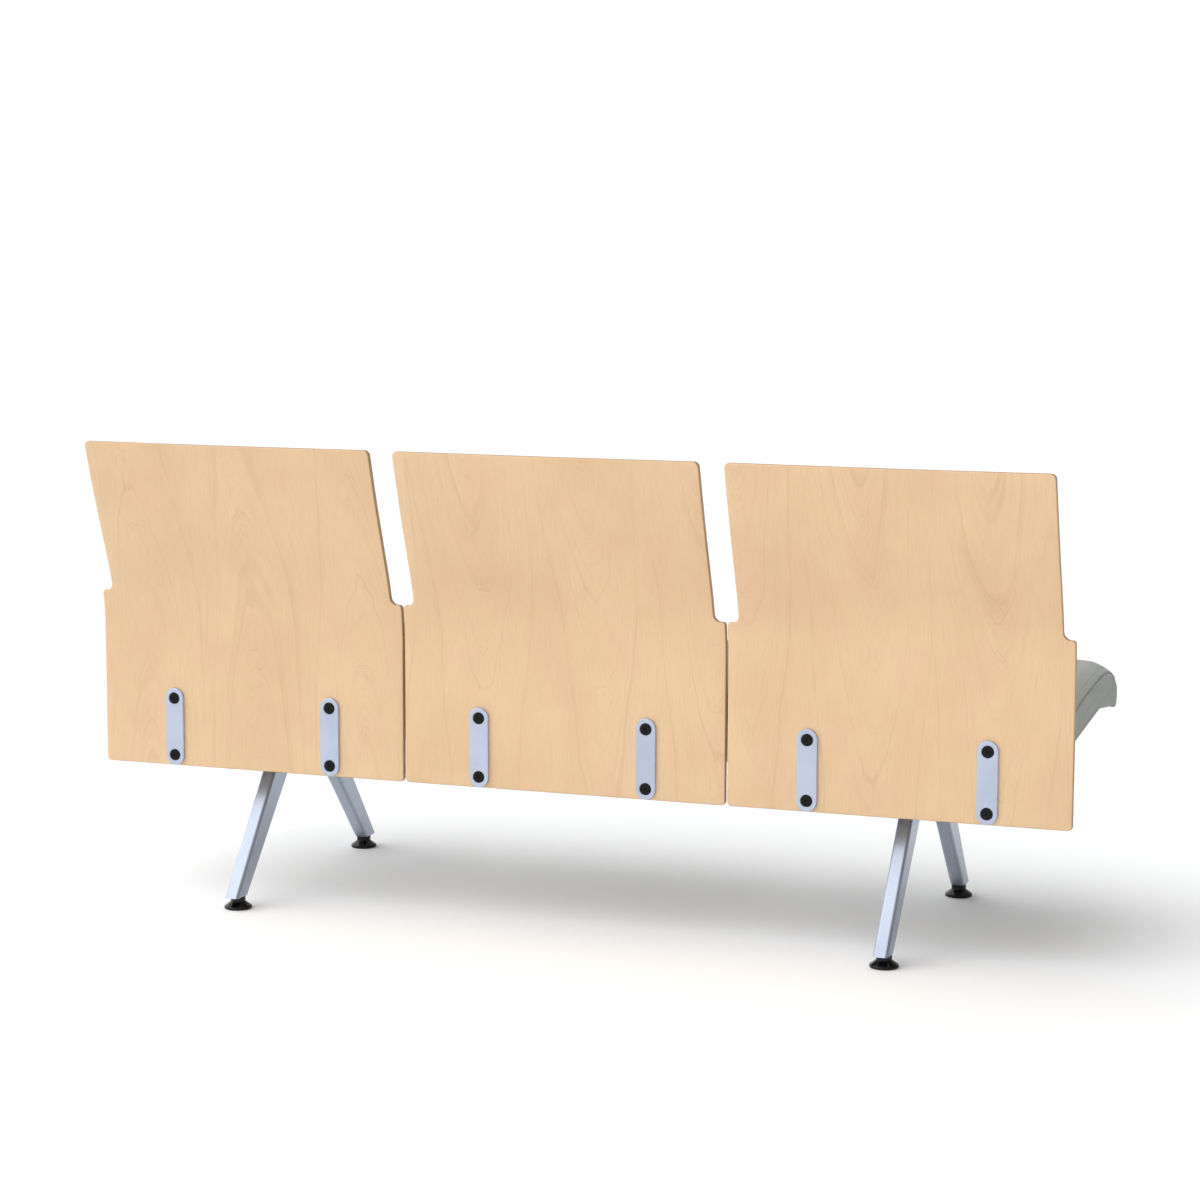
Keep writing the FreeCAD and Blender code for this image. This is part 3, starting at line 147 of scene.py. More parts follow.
class Finish:
    """A material with one Principled shader and the nodes that feed it."""

    def __init__(self, name, **constants):
        self.material = bpy.data.materials.new(name)
        self.material.use_nodes = True
        self.tree = self.material.node_tree
        self.shader = self.tree.nodes["Principled BSDF"]
        for socket, value in constants.items():
            self.shader.inputs[socket.replace("_", " ")].default_value = value

    def feed(self, socket, value):
        if isinstance(value, Signal):
            self.tree.links.new(value.socket, socket)
        else:
            socket.default_value = value

    def node(self, kind, settings=None, values=None, output=0):
        """Adds a node, sets its settings, then its inputs by name or number."""
        made = self.tree.nodes.new(kind)
        for name, value in (settings or {}).items():
            setattr(made, name, value)
        for name, value in (values or {}).items():
            self.feed(made.inputs[name], value)
        return Signal(self, made.outputs[output])

    def drive(self, **signals):
        for socket, value in signals.items():
            self.feed(self.shader.inputs[socket.replace("_", " ")], value)
        return self

    def place(self):
        """Object coordinates of the shaded point, in metres."""
        return self.node("ShaderNodeTexCoord", output="Object")

    def split(self, vector):
        parts = self.tree.nodes.new("ShaderNodeSeparateXYZ")
        self.feed(parts.inputs[0], vector)
        return [Signal(self, parts.outputs[i]) for i in range(3)]

    def join(self, x, y, z):
        return self.node("ShaderNodeCombineXYZ", None, {0: x, 1: y, 2: z})

    def noise(self, vector, scale, detail=2.0, roughness=0.5, distortion=0.0):
        return self.node("ShaderNodeTexNoise", None, {
            "Vector": vector, "Scale": scale, "Detail": detail,
            "Roughness": roughness, "Distortion": distortion,
        }, "Fac")

    def blend(self, share, first, second):
        """Mixes two colours by a share."""
        return self.node(
            "ShaderNodeMix", {"data_type": "RGBA", "blend_type": "MIX"},
            {0: share, 6: self.colour(first), 7: self.colour(second)}, 2,
        )

    def colour(self, value):
        return value if isinstance(value, Signal) else (*value, 1)

    def bump(self, height, distance, strength=1.0):
        return self.node("ShaderNodeBump", None, {
            "Height": height, "Distance": distance, "Strength": strength,
        }, "Normal")


def from_screen(red, green, blue):
    """Linear colour of a screen colour given in 0 to 255."""
    return tuple(
        c / 12.92 if c <= 0.04045 else ((c + 0.055) / 1.055) ** 2.4
        for c in (red / 255, green / 255, blue / 255)
    )


# %% [markdown]
# The backs are moulded plywood faced with pale sliced veneer. Sliced through the middle of a
# log, veneer shows nested arches where the cut runs across the rings, and straight close
# lines beside them. Contours of one height over the leaf give both: a parabola across it and a
# rise along it. Three leaves lie side by side on each face, each with its arches. An image of
# wood would be quicker, but it would repeat and has no place in a part that carries no files.

# %% Veneer and ply edges
LEAF = 215 * MM
RING = 2.2 * MM
PLY_COUNT = 9


def make_veneer():
    veneer = Finish("moulded_plywood", Coat_Weight=0.2, Coat_Roughness=0.25)
    grain = veneer.node("ShaderNodeAttribute", {"attribute_name": "grain"}, output="Vector")
    across, along, depth = veneer.split(grain)

    # distance from the log's heart, which lies deeper behind the cut towards the foot
    leaf = across / LEAF
    lottery = veneer.node(
        "ShaderNodeTexWhiteNoise", {"noise_dimensions": "1D"},
        {"W": leaf.math("FLOOR", leaf) + 0.5}, "Value",
    )
    sway = veneer.noise(veneer.join(across * 5.0, along * 3.0, lottery * 9.0), 1.0, 1.0) - 0.5
    shiver = veneer.noise(veneer.join(across * 34.0, along * 9.0, 0.0), 1.0, 2.0) - 0.5
    offset = (leaf % 1.0 - 0.5) * LEAF + sway * 0.03
    drop = 0.66 - along + lottery * 0.06
    buried = drop * 0.19 - drop * drop * 0.1 + shiver * 0.007 + 0.004
    heart = (offset * offset + buried * buried) ** 0.5
    ring = (heart + shiver * 0.0016) / RING + lottery * 37.0

    # each ring's dark edge is a contour of one-dimensional noise, so spacing and depth vary
    def contours(scale, width, seed):
        wave = veneer.node(
            "ShaderNodeTexNoise", {"noise_dimensions": "1D"},
            {"W": ring * scale + seed, "Scale": 1.0, "Detail": 1.0}, "Fac",
        ) - 0.5
        return 1.0 - wave.math("ABSOLUTE", wave).within(0.0, width)

    fine = contours(0.55, 0.075, 3.0)
    strong = contours(0.13, 0.013, 61.0)
    breath = veneer.noise(veneer.join(across * 13.0, along * 4.0, 17.0), 1.0, 2.0)
    breath = breath.within(0.35, 0.65)
    fibre = veneer.noise(veneer.join(across * 800.0, along * 20.0, 0.0), 1.0, 2.0, 0.6)
    pores = veneer.noise(veneer.join(across * 1300.0, along * 80.0, 7.0), 1.0, 1.0)
    pore = pores.within(0.64, 0.72)
    cloud = veneer.noise(veneer.join(across * 6.0, along * 4.0, 3.0), 1.0, 3.0, 0.6)
    rose = veneer.noise(veneer.join(across * 14.0, along * 6.0, 11.0), 1.0, 2.0)
    base = veneer.blend(cloud.within(0.3, 0.7), VENEER_DEEP, VENEER_PALE)
    base = veneer.blend(rose.within(0.5, 0.75) * 0.3, base, VENEER_ROSE)
    base = veneer.blend(fibre.within(0.35, 0.75) * 0.13, base, VENEER_LINE)
    base = veneer.blend(fine * breath * 0.085, base, VENEER_LINE)
    base = veneer.blend(strong * (breath * 0.13 + 0.07), base, VENEER_LINE)
    base = veneer.blend(pore * 0.1, base, VENEER_PORE)

    # the rim shows the plies, every other one as end grain, with dark glue between them
    ply = depth * PLY_COUNT
    cross_ply = (ply % 2.0).within(0.96, 1.04) * (1.0 - (ply % 2.0).within(1.92, 2.0))
    end_grain = veneer.noise(veneer.join(across * 420.0, along * 420.0, depth * 60.0), 1.0, 2.0)
    in_ply = ply % 1.0 - 0.5
    glue = in_ply.math("ABSOLUTE", in_ply).within(0.42, 0.49)
    edge = veneer.blend(cross_ply, PLY_LIGHT, PLY_DARK)
    edge = veneer.blend(end_grain.within(0.4, 0.7) * 0.3, edge, PLY_DARK)
    edge = veneer.blend(glue * 0.35, edge, PLY_GLUE)
    in_rim = depth.within(0.03, 0.06) * (1.0 - depth.within(0.94, 0.97))
    relief = fibre * 0.5 - pore * 0.6 - fine * 0.2 + in_rim * end_grain
    return veneer.drive(
        Base_Color=veneer.blend(in_rim, base, edge),
        Roughness=0.4 + fibre * 0.1 + in_rim * 0.18,
        Normal=veneer.bump(relief, 0.00005),
    )


VENEER_PALE = from_screen(224, 192, 151)
VENEER_DEEP = from_screen(216, 182, 141)
VENEER_ROSE = from_screen(218, 177, 143)
VENEER_LINE = from_screen(168, 126, 88)
VENEER_PORE = from_screen(150, 106, 70)
PLY_LIGHT = from_screen(214, 182, 142)
PLY_DARK = from_screen(158, 118, 82)
PLY_GLUE = from_screen(96, 62, 40)
veneer = make_veneer()
print("veneer nodes:", len(veneer.tree.nodes))

# %% [markdown]
# Powder coat is paint baked onto steel: a colour with a slight orange-peel skin. It is not
# bare metal, but the silver kind holds metal flakes, so it is given part of a metal's
# reflection. Fine noise gives the skin, and a slower one keeps large faces from looking flat.

# %% Coated and plated metals
def make_coat(name, colour, metallic, roughness, peel=0.00002, spread=0.06, flake=0.0, gloss=0.5):
    coat = Finish(name, Metallic=metallic, Specular_IOR_Level=gloss,
                  Coat_Weight=gloss / 4, Coat_Roughness=0.3)
    spot = coat.place()
    skin = coat.noise(spot, 900.0, 2.0)
    drift = coat.noise(spot, 11.0, 3.0)
    darker = tuple(c * (1 - spread) for c in colour)
    lighter = tuple(min(1.0, c * (1 + spread)) for c in colour)
    shade = coat.blend(drift.within(0.3, 0.7), darker, lighter)
    if flake:
        glint = coat.noise(spot, 2600.0, 1.0).within(0.55, 0.75)
        shade = coat.blend(glint * flake, shade, tuple(min(1.0, c * 1.25) for c in colour))
    return coat.drive(
        Base_Color=shade, Roughness=roughness + skin * 0.06,
        Normal=coat.bump(skin, peel),
    )


def make_plated(name, colour):
    """Zinc plate: bright, slightly cloudy, with fine turning marks."""
    plate = Finish(name, Metallic=1.0)
    spot = plate.place()
    cloud = plate.noise(spot, 180.0, 3.0)
    mark = plate.noise(spot, 2200.0, 1.0)
    shade = plate.blend(cloud.within(0.3, 0.7), tuple(c * 0.86 for c in colour), colour)
    return plate.drive(
        Base_Color=shade, Roughness=0.26 + cloud * 0.14, Normal=plate.bump(mark, 0.00001),
    )


silver = make_coat("leg_steel", from_screen(166, 175, 191), 0.6, 0.3, flake=0.35)
beam_coat = make_coat("beam_steel", from_screen(196, 203, 216), 0.35, 0.38, flake=0.3)
strap_coat = make_coat("strap_steel", from_screen(178, 187, 207), 0.4, 0.34, flake=0.35)
black_coat = make_coat("bracket_steel", (0.022, 0.022, 0.024), 0.0, 0.42, 0.00004)
zinc = make_plated("plated_fixings", (0.62, 0.62, 0.6))
stud_zinc = make_plated("stud_steel", (0.66, 0.66, 0.64))
black_screw = make_coat("black_screws", (0.006, 0.0055, 0.006), 0.0, 0.26, 0.000015, gloss=0.14)

# %% [markdown]
# The glides, plugs and caps are moulded plastic. Moulded black plastic is never one even
# black: it carries faint flow clouds and picks up dust low down; only the clouds are drawn. The
# glides are polished and mirror the room, while plugs and caps have the fine spark texture of a
# mould.

# %% Plastics
def make_plastic(name, colour, roughness, grain):
    plastic = Finish(name, Specular_IOR_Level=0.25)
    spot = plastic.place()
    cloud = plastic.noise(spot, 60.0, 3.0)
    spark = plastic.noise(spot, 1800.0, 2.0)
    shade = plastic.blend(cloud.within(0.3, 0.7), colour, tuple(c * 1.5 + 0.002 for c in colour))
    return plastic.drive(
        Base_Color=shade, Roughness=roughness + cloud * 0.05,
        Normal=plastic.bump(spark, grain),
    )


glide_black = make_plastic("glide_plastic", (0.0035, 0.0037, 0.0048), 0.1, 0.000004)
plug_black = make_plastic("plug_plastic", (0.012, 0.012, 0.013), 0.45, 0.00003)
cap_black = make_plastic("cap_plastic", (0.014, 0.014, 0.015), 0.4, 0.00003)

# %% [markdown]
# The pans under the cushions are bare plywood: the same wood as the backs, unlacquered and
# seen only from below. Object coordinates are enough here, because a pan is a flat board.

# %% Bare plywood pans
def make_pan_wood():
    wood = Finish("pan_plywood", Specular_IOR_Level=0.3)
    x, y, z = wood.split(wood.place())
    ring = wood.noise(wood.join(x * 26.0, y * 2.2, 2.0), 1.0, 3.0, 0.6, 0.6)
    fibre = wood.noise(wood.join(x * 800.0, y * 24.0, 0.0), 1.0, 2.0)
    shade = wood.blend(ring.within(0.35, 0.65), PAN_DEEP, PAN_PALE)
    shade = wood.blend(fibre.within(0.4, 0.75) * 0.35, shade, PAN_FIBRE)
    return wood.drive(
        Base_Color=shade, Roughness=0.62 + fibre * 0.15, Normal=wood.bump(fibre, 0.0001),
    )


PAN_PALE = from_screen(222, 192, 150)
PAN_DEEP = from_screen(206, 172, 128)
PAN_FIBRE = from_screen(168, 128, 86)
pan_wood = make_pan_wood()

# %% [markdown]
# The seats are covered in a grey-green woven wool. Up close it is a plain weave of mixed
# yarns, and from a few steps it is a soft, slightly mottled grey. The weave follows the cloth,
# so it reads an attribute laid over the cushion in metres of cloth, not the room's axes.

# %% Upholstery wool
THREAD = 0.0011


def make_wool():
    wool = Finish("cushion_fabric", Roughness=0.92, Sheen_Weight=0.35, Sheen_Roughness=0.45,
                  Specular_IOR_Level=0.25)
    # the cloth attribute holds warp and weft in metres of cloth, and how much painted shade
    # darkens the sunk seam
    cloth = wool.node("ShaderNodeAttribute", {"attribute_name": "cloth"}, output="Vector")
    warp, weft, groove_shade = wool.split(cloth)
    wander = wool.noise(wool.join(warp * 160.0, weft * 160.0, 0.0), 1.0, 2.0) - 0.5
    up = (warp / THREAD + wander * 0.5) * math.pi
    along = (weft / THREAD + wander * 0.5) * math.pi
    over = up.math("SINE", up) * along.math("SINE", along)
    yarn_up = up.math("SINE", up)
    yarn_along = along.math("SINE", along)
    on_top, below = 0.5 + over * 0.5, 0.5 - over * 0.5
    height = (yarn_up * yarn_up) * on_top + (yarn_along * yarn_along) * below
    mottle = wool.noise(wool.join(warp * 420.0, weft * 420.0, 2.0), 1.0, 3.0, 0.65)
    drift = wool.noise(wool.join(warp * 14.0, weft * 14.0, 5.0), 1.0, 3.0)
    shade = wool.blend(mottle.within(0.32, 0.68), WOOL_DARK, WOOL_LIGHT)
    shade = wool.blend(drift.within(0.3, 0.7) * 0.25, shade, WOOL_WARM)
    # painted shade: the cloth is darker in the weave's hollows, where the yarn height is low
    shade = wool.blend((1.0 - height.within(0.0, 0.5)) * 0.3, shade, WOOL_DARK)
    # painted shade: the cloth is darkened along the sunk seam and, more faintly, along the stitch
    # line
    shade = wool.blend(groove_shade.within(0.2, 1.0) * 0.75, shade, WOOL_SEAM_SHADE)
    return wool.drive(
        Base_Color=shade, Roughness=0.86 + mottle * 0.1,
        Normal=wool.bump(height + mottle * 0.6, 0.00028, 0.8),
    )


WOOL_LIGHT = from_screen(172, 178, 171)
WOOL_DARK = from_screen(144, 149, 142)
WOOL_WARM = from_screen(156, 158, 146)
# colour of the painted shade along the sunk seam and stitch line
WOOL_SEAM_SHADE = from_screen(84, 86, 76)
wool = make_wool()
thread = make_coat("stitching", from_screen(176, 180, 168), 0.0, 0.8, 0.00003, 0.1)

# %% [markdown]
# Every surface made here is a grid of points, so one helper turns such a grid into a mesh. It
# joins neighbours into quads, closes the columns into a ring, merges the doubled points where a
# seam or pole meets, and turns the faces outwards.

# %% Grid to mesh
def grid_faces(rows, columns):
    """Quads between row i and i + 1, with the last column joined to the first."""
    i, j = np.meshgrid(np.arange(rows - 1), np.arange(columns), indexing="ij")
    k = (j + 1) % columns
    return np.stack([i * columns + j, i * columns + k, (i + 1) * columns + k,
                     (i + 1) * columns + j], axis=-1).reshape(-1, 4)


def add_attribute(mesh, name, values):
    layer = mesh.attributes.new(name, "FLOAT_VECTOR", "POINT")
    layer.data.foreach_set("vector", np.ascontiguousarray(values, np.float32).ravel())


def closed_surface(name, points, finish, attribute, values, extra=None, merge=2e-6):
    """Closed smooth shell over points[row, column], with one or two vectors for each point."""
    rows, columns = points.shape[:2]
    mesh = bpy.data.meshes.new(name)
    mesh.from_pydata(points.reshape(-1, 3).tolist(), [], grid_faces(rows, columns).tolist())
    add_attribute(mesh, attribute, values.reshape(-1, 3))
    if extra:
        add_attribute(mesh, extra[0], extra[1].reshape(-1, 3))
    shell = bmesh.new()
    shell.from_mesh(mesh)
    bmesh.ops.remove_doubles(shell, verts=shell.verts, dist=merge)
    bmesh.ops.dissolve_degenerate(shell, dist=1e-7, edges=shell.edges)
    bmesh.ops.recalc_face_normals(shell, faces=shell.faces)
    shell.to_mesh(mesh)
    shell.free()
    mesh.shade_smooth()
    mesh.materials.append(finish.material)
    piece = bpy.data.objects.new(name, mesh)
    bpy.context.scene.collection.objects.link(piece)
    return piece


# %% [markdown]
# A back is one moulding, 12 mm thick. From the side its rear face is an upright, a bend, a
# leaning straight and a wide sweep, and the front face is the same line one thickness ahead.
# Those arcs are known, so the depth of either face is a formula of the height and the place
# across. Bending a flat board with a modifier would need fitting; the formula lands on the
# solid at once.

# %% Moulded line of the backs
BACK_HALF = 298.25 * MM
BACK_UPPER = 277.75 * MM
BACK_LOW = 240 * MM
BACK_TOP = 840 * MM
BACK_SHOULDER = 559 * MM
BACK_REAR = 209.5 * MM
BACK_THICK = 12 * MM
BEND_START, BEND = 491 * MM, 341 * MM
SWEEP_START, SWEEP = 690 * MM, 2300 * MM
LEAN, BOW = 20.4, 1.7
EDGE_ROUND = 3 * MM


def face_depth(x, z, inward):
    """Y of the moulding at height z, a distance inward from its rear face.

    On the bend y is the bend's centre less sqrt(r^2 - rise^2); above it the line climbs
    at the lean's slope, and the sweep adds the sagitta of its own circle.
    """
    lean = np.radians(LEAN + BOW * (1 - (x / BACK_UPPER) ** 2))
    bend, sweep = BEND + inward, SWEEP - inward
    sweep_z = SWEEP_START + SWEEP * np.sin(lean)
    bend_end = BEND_START + bend * np.sin(lean)
    sweep_first = sweep_z - sweep * np.sin(lean)
    rise = np.clip(z, BEND_START, bend_end) - BEND_START
    on_bend = BACK_REAR + BEND - np.sqrt(bend ** 2 - rise ** 2)
    on_straight = (np.clip(z, bend_end, sweep_first) - bend_end) * np.tan(lean)
    swept = np.maximum(z, sweep_first) - sweep_z
    at_first = np.sqrt(sweep ** 2 - (sweep_first - sweep_z) ** 2)
    on_sweep = np.sqrt(sweep ** 2 - swept ** 2) - at_first
    return on_bend + on_straight + on_sweep + BEAM_Y


heights = np.linspace(BACK_LOW, BACK_TOP, 400)
middle_line = face_depth(0 * heights, heights, 0.0)
steps = np.hypot(np.diff(heights), np.diff(middle_line))
line_length = np.concatenate([[0.0], np.cumsum(steps)])
print("veneer length up the back:", round(line_length[-1], 4))

# %% [markdown]
# Seen from behind, the outline of a back steps in at the shoulder and has rounded corners. The
# outline is walked from the middle of the foot to the middle of the top and mirrored. Each
# corner is a quarter circle between two straight runs, whether it turns in or out.

# %% Outline of the backs
CORNERS = [
    (BACK_HALF, BACK_LOW, 7.5 * MM), (BACK_HALF, BACK_SHOULDER, 6 * MM),
    (BACK_UPPER, BACK_SHOULDER, 13 * MM), (BACK_UPPER, BACK_TOP, 9.5 * MM),
]
STRIDE = 11 * MM


def half_outline():
    """Points and directions of travel from the middle of the foot to the middle of the top."""
    stops = np.array([(0, BACK_LOW)] + [c[:2] for c in CORNERS] + [(0, BACK_TOP)])
    radii = np.array([0] + [c[2] for c in CORNERS] + [0])
    spots, headings = [], []
    for n in range(len(stops) - 1):
        run = stops[n + 1] - stops[n]
        heading = run / np.linalg.norm(run)
        start = stops[n] + heading * radii[n]
        end = stops[n + 1] - heading * radii[n + 1]
        count = max(2, int(np.ceil(np.linalg.norm(end - start) / STRIDE)))
        share = np.linspace(0, 1, count, endpoint=n == len(stops) - 2)[:, None]
        spots.append(start + share * (end - start))
        headings.append(np.repeat(heading[None], len(share), 0))
        if n < len(stops) - 2:
            turn = stops[n + 2] - stops[n + 1]
            following = turn / np.linalg.norm(turn)
            angle = np.linspace(0, math.pi / 2, 9)[:-1, None]
            radius = radii[n + 1]
            centre = end + following * radius
            spots.append(centre + radius * (heading * np.sin(angle) - following * np.cos(angle)))
            headings.append(heading * np.cos(angle) + following * np.sin(angle))
    return np.concatenate(spots), np.concatenate(headings)


def full_outline():
    """Closed outline, its inward normals, and how far up the half outline each point is."""
    spots, headings = half_outline()
    inward = np.stack([-headings[:, 1], headings[:, 0]], 1)
    walked = np.concatenate([[0], np.cumsum(np.linalg.norm(np.diff(spots, axis=0), axis=1))])
    share = walked / walked[-1]
    mirror = np.array([-1, 1])
    back = slice(-2, 0, -1)
    return (
        np.concatenate([spots, spots[back] * mirror]),
        np.concatenate([inward, inward[back] * mirror]),
        np.concatenate([share, share[back]]),
    )


outline, outline_in, outline_share = full_outline()
print("points round a back:", len(outline))

# %% [markdown]
# One grid covers a whole back. Each column is a point of the outline. Its rows start on a
# spine up the middle of the rear face, run out to the edge, roll over the 3 mm rounding, cross
# the plies, and come back over the front face to the same spine. The spine point climbs with
# the outline, so no two columns meet before it. The grain attribute holds the place across,
# the length of veneer from the foot, and how deep in the thickness the point lies.

# %% Back panels
FACE_ROWS = np.linspace(0, 1, 12)
ROUND_ROWS = np.linspace(0, math.pi / 2, 6)[1:]
RIM_ROWS = np.linspace(0, 1, 11)[1:-1]


def back_grid():
    """Points and grain of one back, in its seat's own frame."""
    inner = outline + EDGE_ROUND * outline_in
    spine = np.stack([0 * outline_share, BACK_LOW + 0.06 + 0.48 * outline_share], 1)
    flat = np.array([spine + share * (inner - spine) for share in FACE_ROWS])
    rolled = np.array([outline + EDGE_ROUND * (1 - np.sin(a)) * outline_in for a in ROUND_ROWS])
    sunk = EDGE_ROUND * (1 - np.cos(ROUND_ROWS))[:, None]

    def rear(p):
        return face_depth(p[..., 0], p[..., 1], 0.0)

    def front(p):
        return face_depth(p[..., 0], p[..., 1], BACK_THICK)

    rim = np.repeat(outline[None], len(RIM_ROWS), 0)
    rim_first, rim_last = rear(rolled[-1]) - sunk[-1], front(rolled[-1]) + sunk[-1]
    rim_depth = rim_first + RIM_ROWS[:, None] * (rim_last - rim_first)
    spots = np.concatenate([flat, rolled, rim, rolled[::-1], flat[::-1]])
    depths = np.concatenate([
        rear(flat), rear(rolled) - sunk, rim_depth,
        (front(rolled) + sunk)[::-1], front(flat)[::-1],
    ])
    points = np.stack([spots[..., 0], depths, spots[..., 1]], -1)
    through = np.clip((rear(spots) - depths) / (rear(spots) - front(spots)), 0, 1)
    along = np.interp(spots[..., 1], heights, line_length)
    return points, np.stack([spots[..., 0], along, through], -1)


# where each seat's leaves were cut: shift across, and whether the arches point up or down
LEAVES = {"left": (0.7645, -1), "middle": (1.2535, 1), "right": (2.2125, 1)}
back_points, back_grain = back_grid()
for seat, x in SEATS.items():
    shift, way = LEAVES[seat]
    grain = back_grain.copy()
    grain[..., 0] += shift
    if way < 0:
        grain[..., 1] = line_length[-1] - grain[..., 1]
    back = closed_surface(
        f"veneered_back_{seat}", back_points + [x, 0, 0], veneer, "grain", grain,
    )
    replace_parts(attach(back, "bench"), f"back_panel_{seat}")
print("faces in a back:", len(back.data.polygons))

# %% [markdown]
# A cushion is foam on a plywood pan, pulled tight in a cover. Its side profile is a chain of
# lines and arcs: a flat underside on the pan, a lip that slopes down in front, a rolled nose,
# a full brow, a crest behind it and a shallow saddle. The brow and crown are fuller than the
# plain solid's, as the photograph shows them. Complex numbers hold the profile's points, as
# y + iz, because an arc through three of them is then one short formula.

# %% Cushion profile
UNDERSIDE = 384.2 * MM
SLOPE = math.tan(math.radians(5.34))
SEAT_FRONT, SEAT_REAR = -284 * MM, 187 * MM
SEAT_HALF = 283.5 * MM
DRAW_IN = 14 * MM
DRAW_REACH = 30.8 * MM
UNDER_DRAW = 0.15
REAR_RISE = 54.3 * MM
SADDLE_RISE = 61.4 * MM
CREST_SETBACK, CREST_RISE = 134 * MM, 57.8 * MM
SHOULDER_SETBACK, SHOULDER_RISE = 62 * MM, 45 * MM
BROW_SETBACK, BROW_RISE = 20 * MM, 59 * MM
FRONT_SETBACK, FRONT_RISE = 5 * MM, 40 * MM
NOSE_RISE, NOSE_ROLL, NOSE_DROP = 17 * MM, 18 * MM, 6 * MM
LIP_SETBACK, LIP_DROP = 185 * MM, 16.5 * MM
LIP_END_SETBACK = 48 * MM
REAR_ROLL, REAR_FOOT_ROLL = 8 * MM, 4 * MM
CROWN = 9.5 * MM
CROWN_FROM_SIDE = np.array([0, 2.8, 9.8, 30.8, 141.75, 283.5]) * MM
CROWN_SHARES = np.array([0, 0, 0.35, 0.82, 0.96, 1])


def line(first, last, count):
    """Points on a straight line, its last point left out."""
    share = np.arange(count) / count
    return first[:, None] + (last - first)[:, None] * share


def arc(first, middle, last, count):
    """Points on the circle through three points, its last point left out.

    The centre comes from the ratio of two chords; the points turn round it evenly.
    """
    ratio = (last - first) / (middle - first)
    centre = first - (first - middle) * (ratio - np.abs(ratio) ** 2) / (2j * ratio.imag)
    turn = np.angle((middle - centre) / (first - centre))
    turn = turn + np.angle((last - centre) / (middle - centre))
    share = np.arange(count) / count
    return centre[:, None] + (first - centre)[:, None] * np.exp(1j * turn[:, None] * share)


CHAIN = 86


def side_profiles(inset, crown):
    """Closed profiles, one for each inset and crown: CHAIN points under, CHAIN points over."""
    lift, draw = crown - inset, inset * UNDER_DRAW
    roll, small, bulge = REAR_ROLL, REAR_FOOT_ROLL, 1 - math.sqrt(0.5)

    def under(y):
        return UNDERSIDE - SLOPE * y

    def at(y, z):
        return y + 1j * z + 0 * inset

    rear = SEAT_REAR - inset
    rear_height = under(SEAT_REAR) + REAR_RISE + lift
    crest_y, shoulder_y = SEAT_FRONT + CREST_SETBACK, SEAT_FRONT + SHOULDER_SETBACK
    crest = at(crest_y, under(crest_y) + CREST_RISE + lift)
    saddle = at(0, under(0) + SADDLE_RISE + lift)
    foot = under(rear) + draw
    rear_low = at(rear, foot + small)
    rear_high = at(rear, rear_height - roll)
    rear_mid = (rear_low + rear_high) / 2
    rear_foot = at(rear - small, under(rear - small) + draw)
    lip_y = SEAT_FRONT + LIP_SETBACK
    lip_low = under(lip_y) - LIP_DROP
    lip_start = at(lip_y, under(lip_y) + draw)
    lip_end = at(SEAT_FRONT + LIP_END_SETBACK, lip_low + draw)
    nose_y = SEAT_FRONT + inset
    nose_low = lip_low + draw - NOSE_DROP
    nose_first = at(nose_y + NOSE_ROLL, nose_low)
    nose = at(nose_y, lip_low + NOSE_RISE)
    nose_middle = at(nose_y + NOSE_ROLL * bulge, nose_low + (nose.imag - nose_low) * bulge)
    front = at(nose_y + FRONT_SETBACK, lip_low + FRONT_RISE + lift / 6)
    brow = at(nose_y + BROW_SETBACK, lip_low + BROW_RISE + lift / 3)
    shoulder = at(shoulder_y + inset / 2, under(shoulder_y) + SHOULDER_RISE + lift)
    rear_top = at(rear - roll, rear_height)
    under_chain = [
        line(rear_mid, rear_low, 3),
        arc(rear_low, at(rear - small * bulge, foot + small * bulge), rear_foot, 3),
        line(rear_foot, lip_start, 46), line(lip_start, lip_end, 22),
        line(lip_end, nose_first, 6), arc(nose_first, nose_middle, nose, 6),
    ]
    over_chain = [
        arc(nose, front, brow, 6), arc(brow, shoulder, crest, 20),
        arc(crest, saddle, rear_top, 52),
        arc(rear_top, at(rear - roll * bulge, rear_height - roll * bulge), rear_high, 4),
        line(rear_high, rear_mid, 4),
    ]
    return np.concatenate(under_chain, 1), np.concatenate(over_chain, 1)


check_under, check_over = side_profiles(np.zeros(1), np.zeros(1))
print("profile points:", check_under.shape[1], check_over.shape[1])

# %% [markdown]
# Across its width the cushion is a row of those profiles. Towards each side they shrink along
# a quarter ellipse and the crown falls away. The side panel closes the end: the last profile
# shrinks to a line between its under and over chains. Rows crowd together at the seam between
# top and side and at the line of top stitching 9 mm inside it.

# %% Cushion grid
SEAM_ROW_AT = 2.6 * MM
STITCH_ROW_AT = 11.6 * MM
EDGE_STEPS = np.array([0, 1.3, 2.6, 3.9, 5.4, 7.6, 10.3, 11.6, 12.9, 16, 20.5, 25.5, 31]) * MM
CAP_STEPS = np.array([0.93, 0.75, 0.5, 0.25, 0.1])


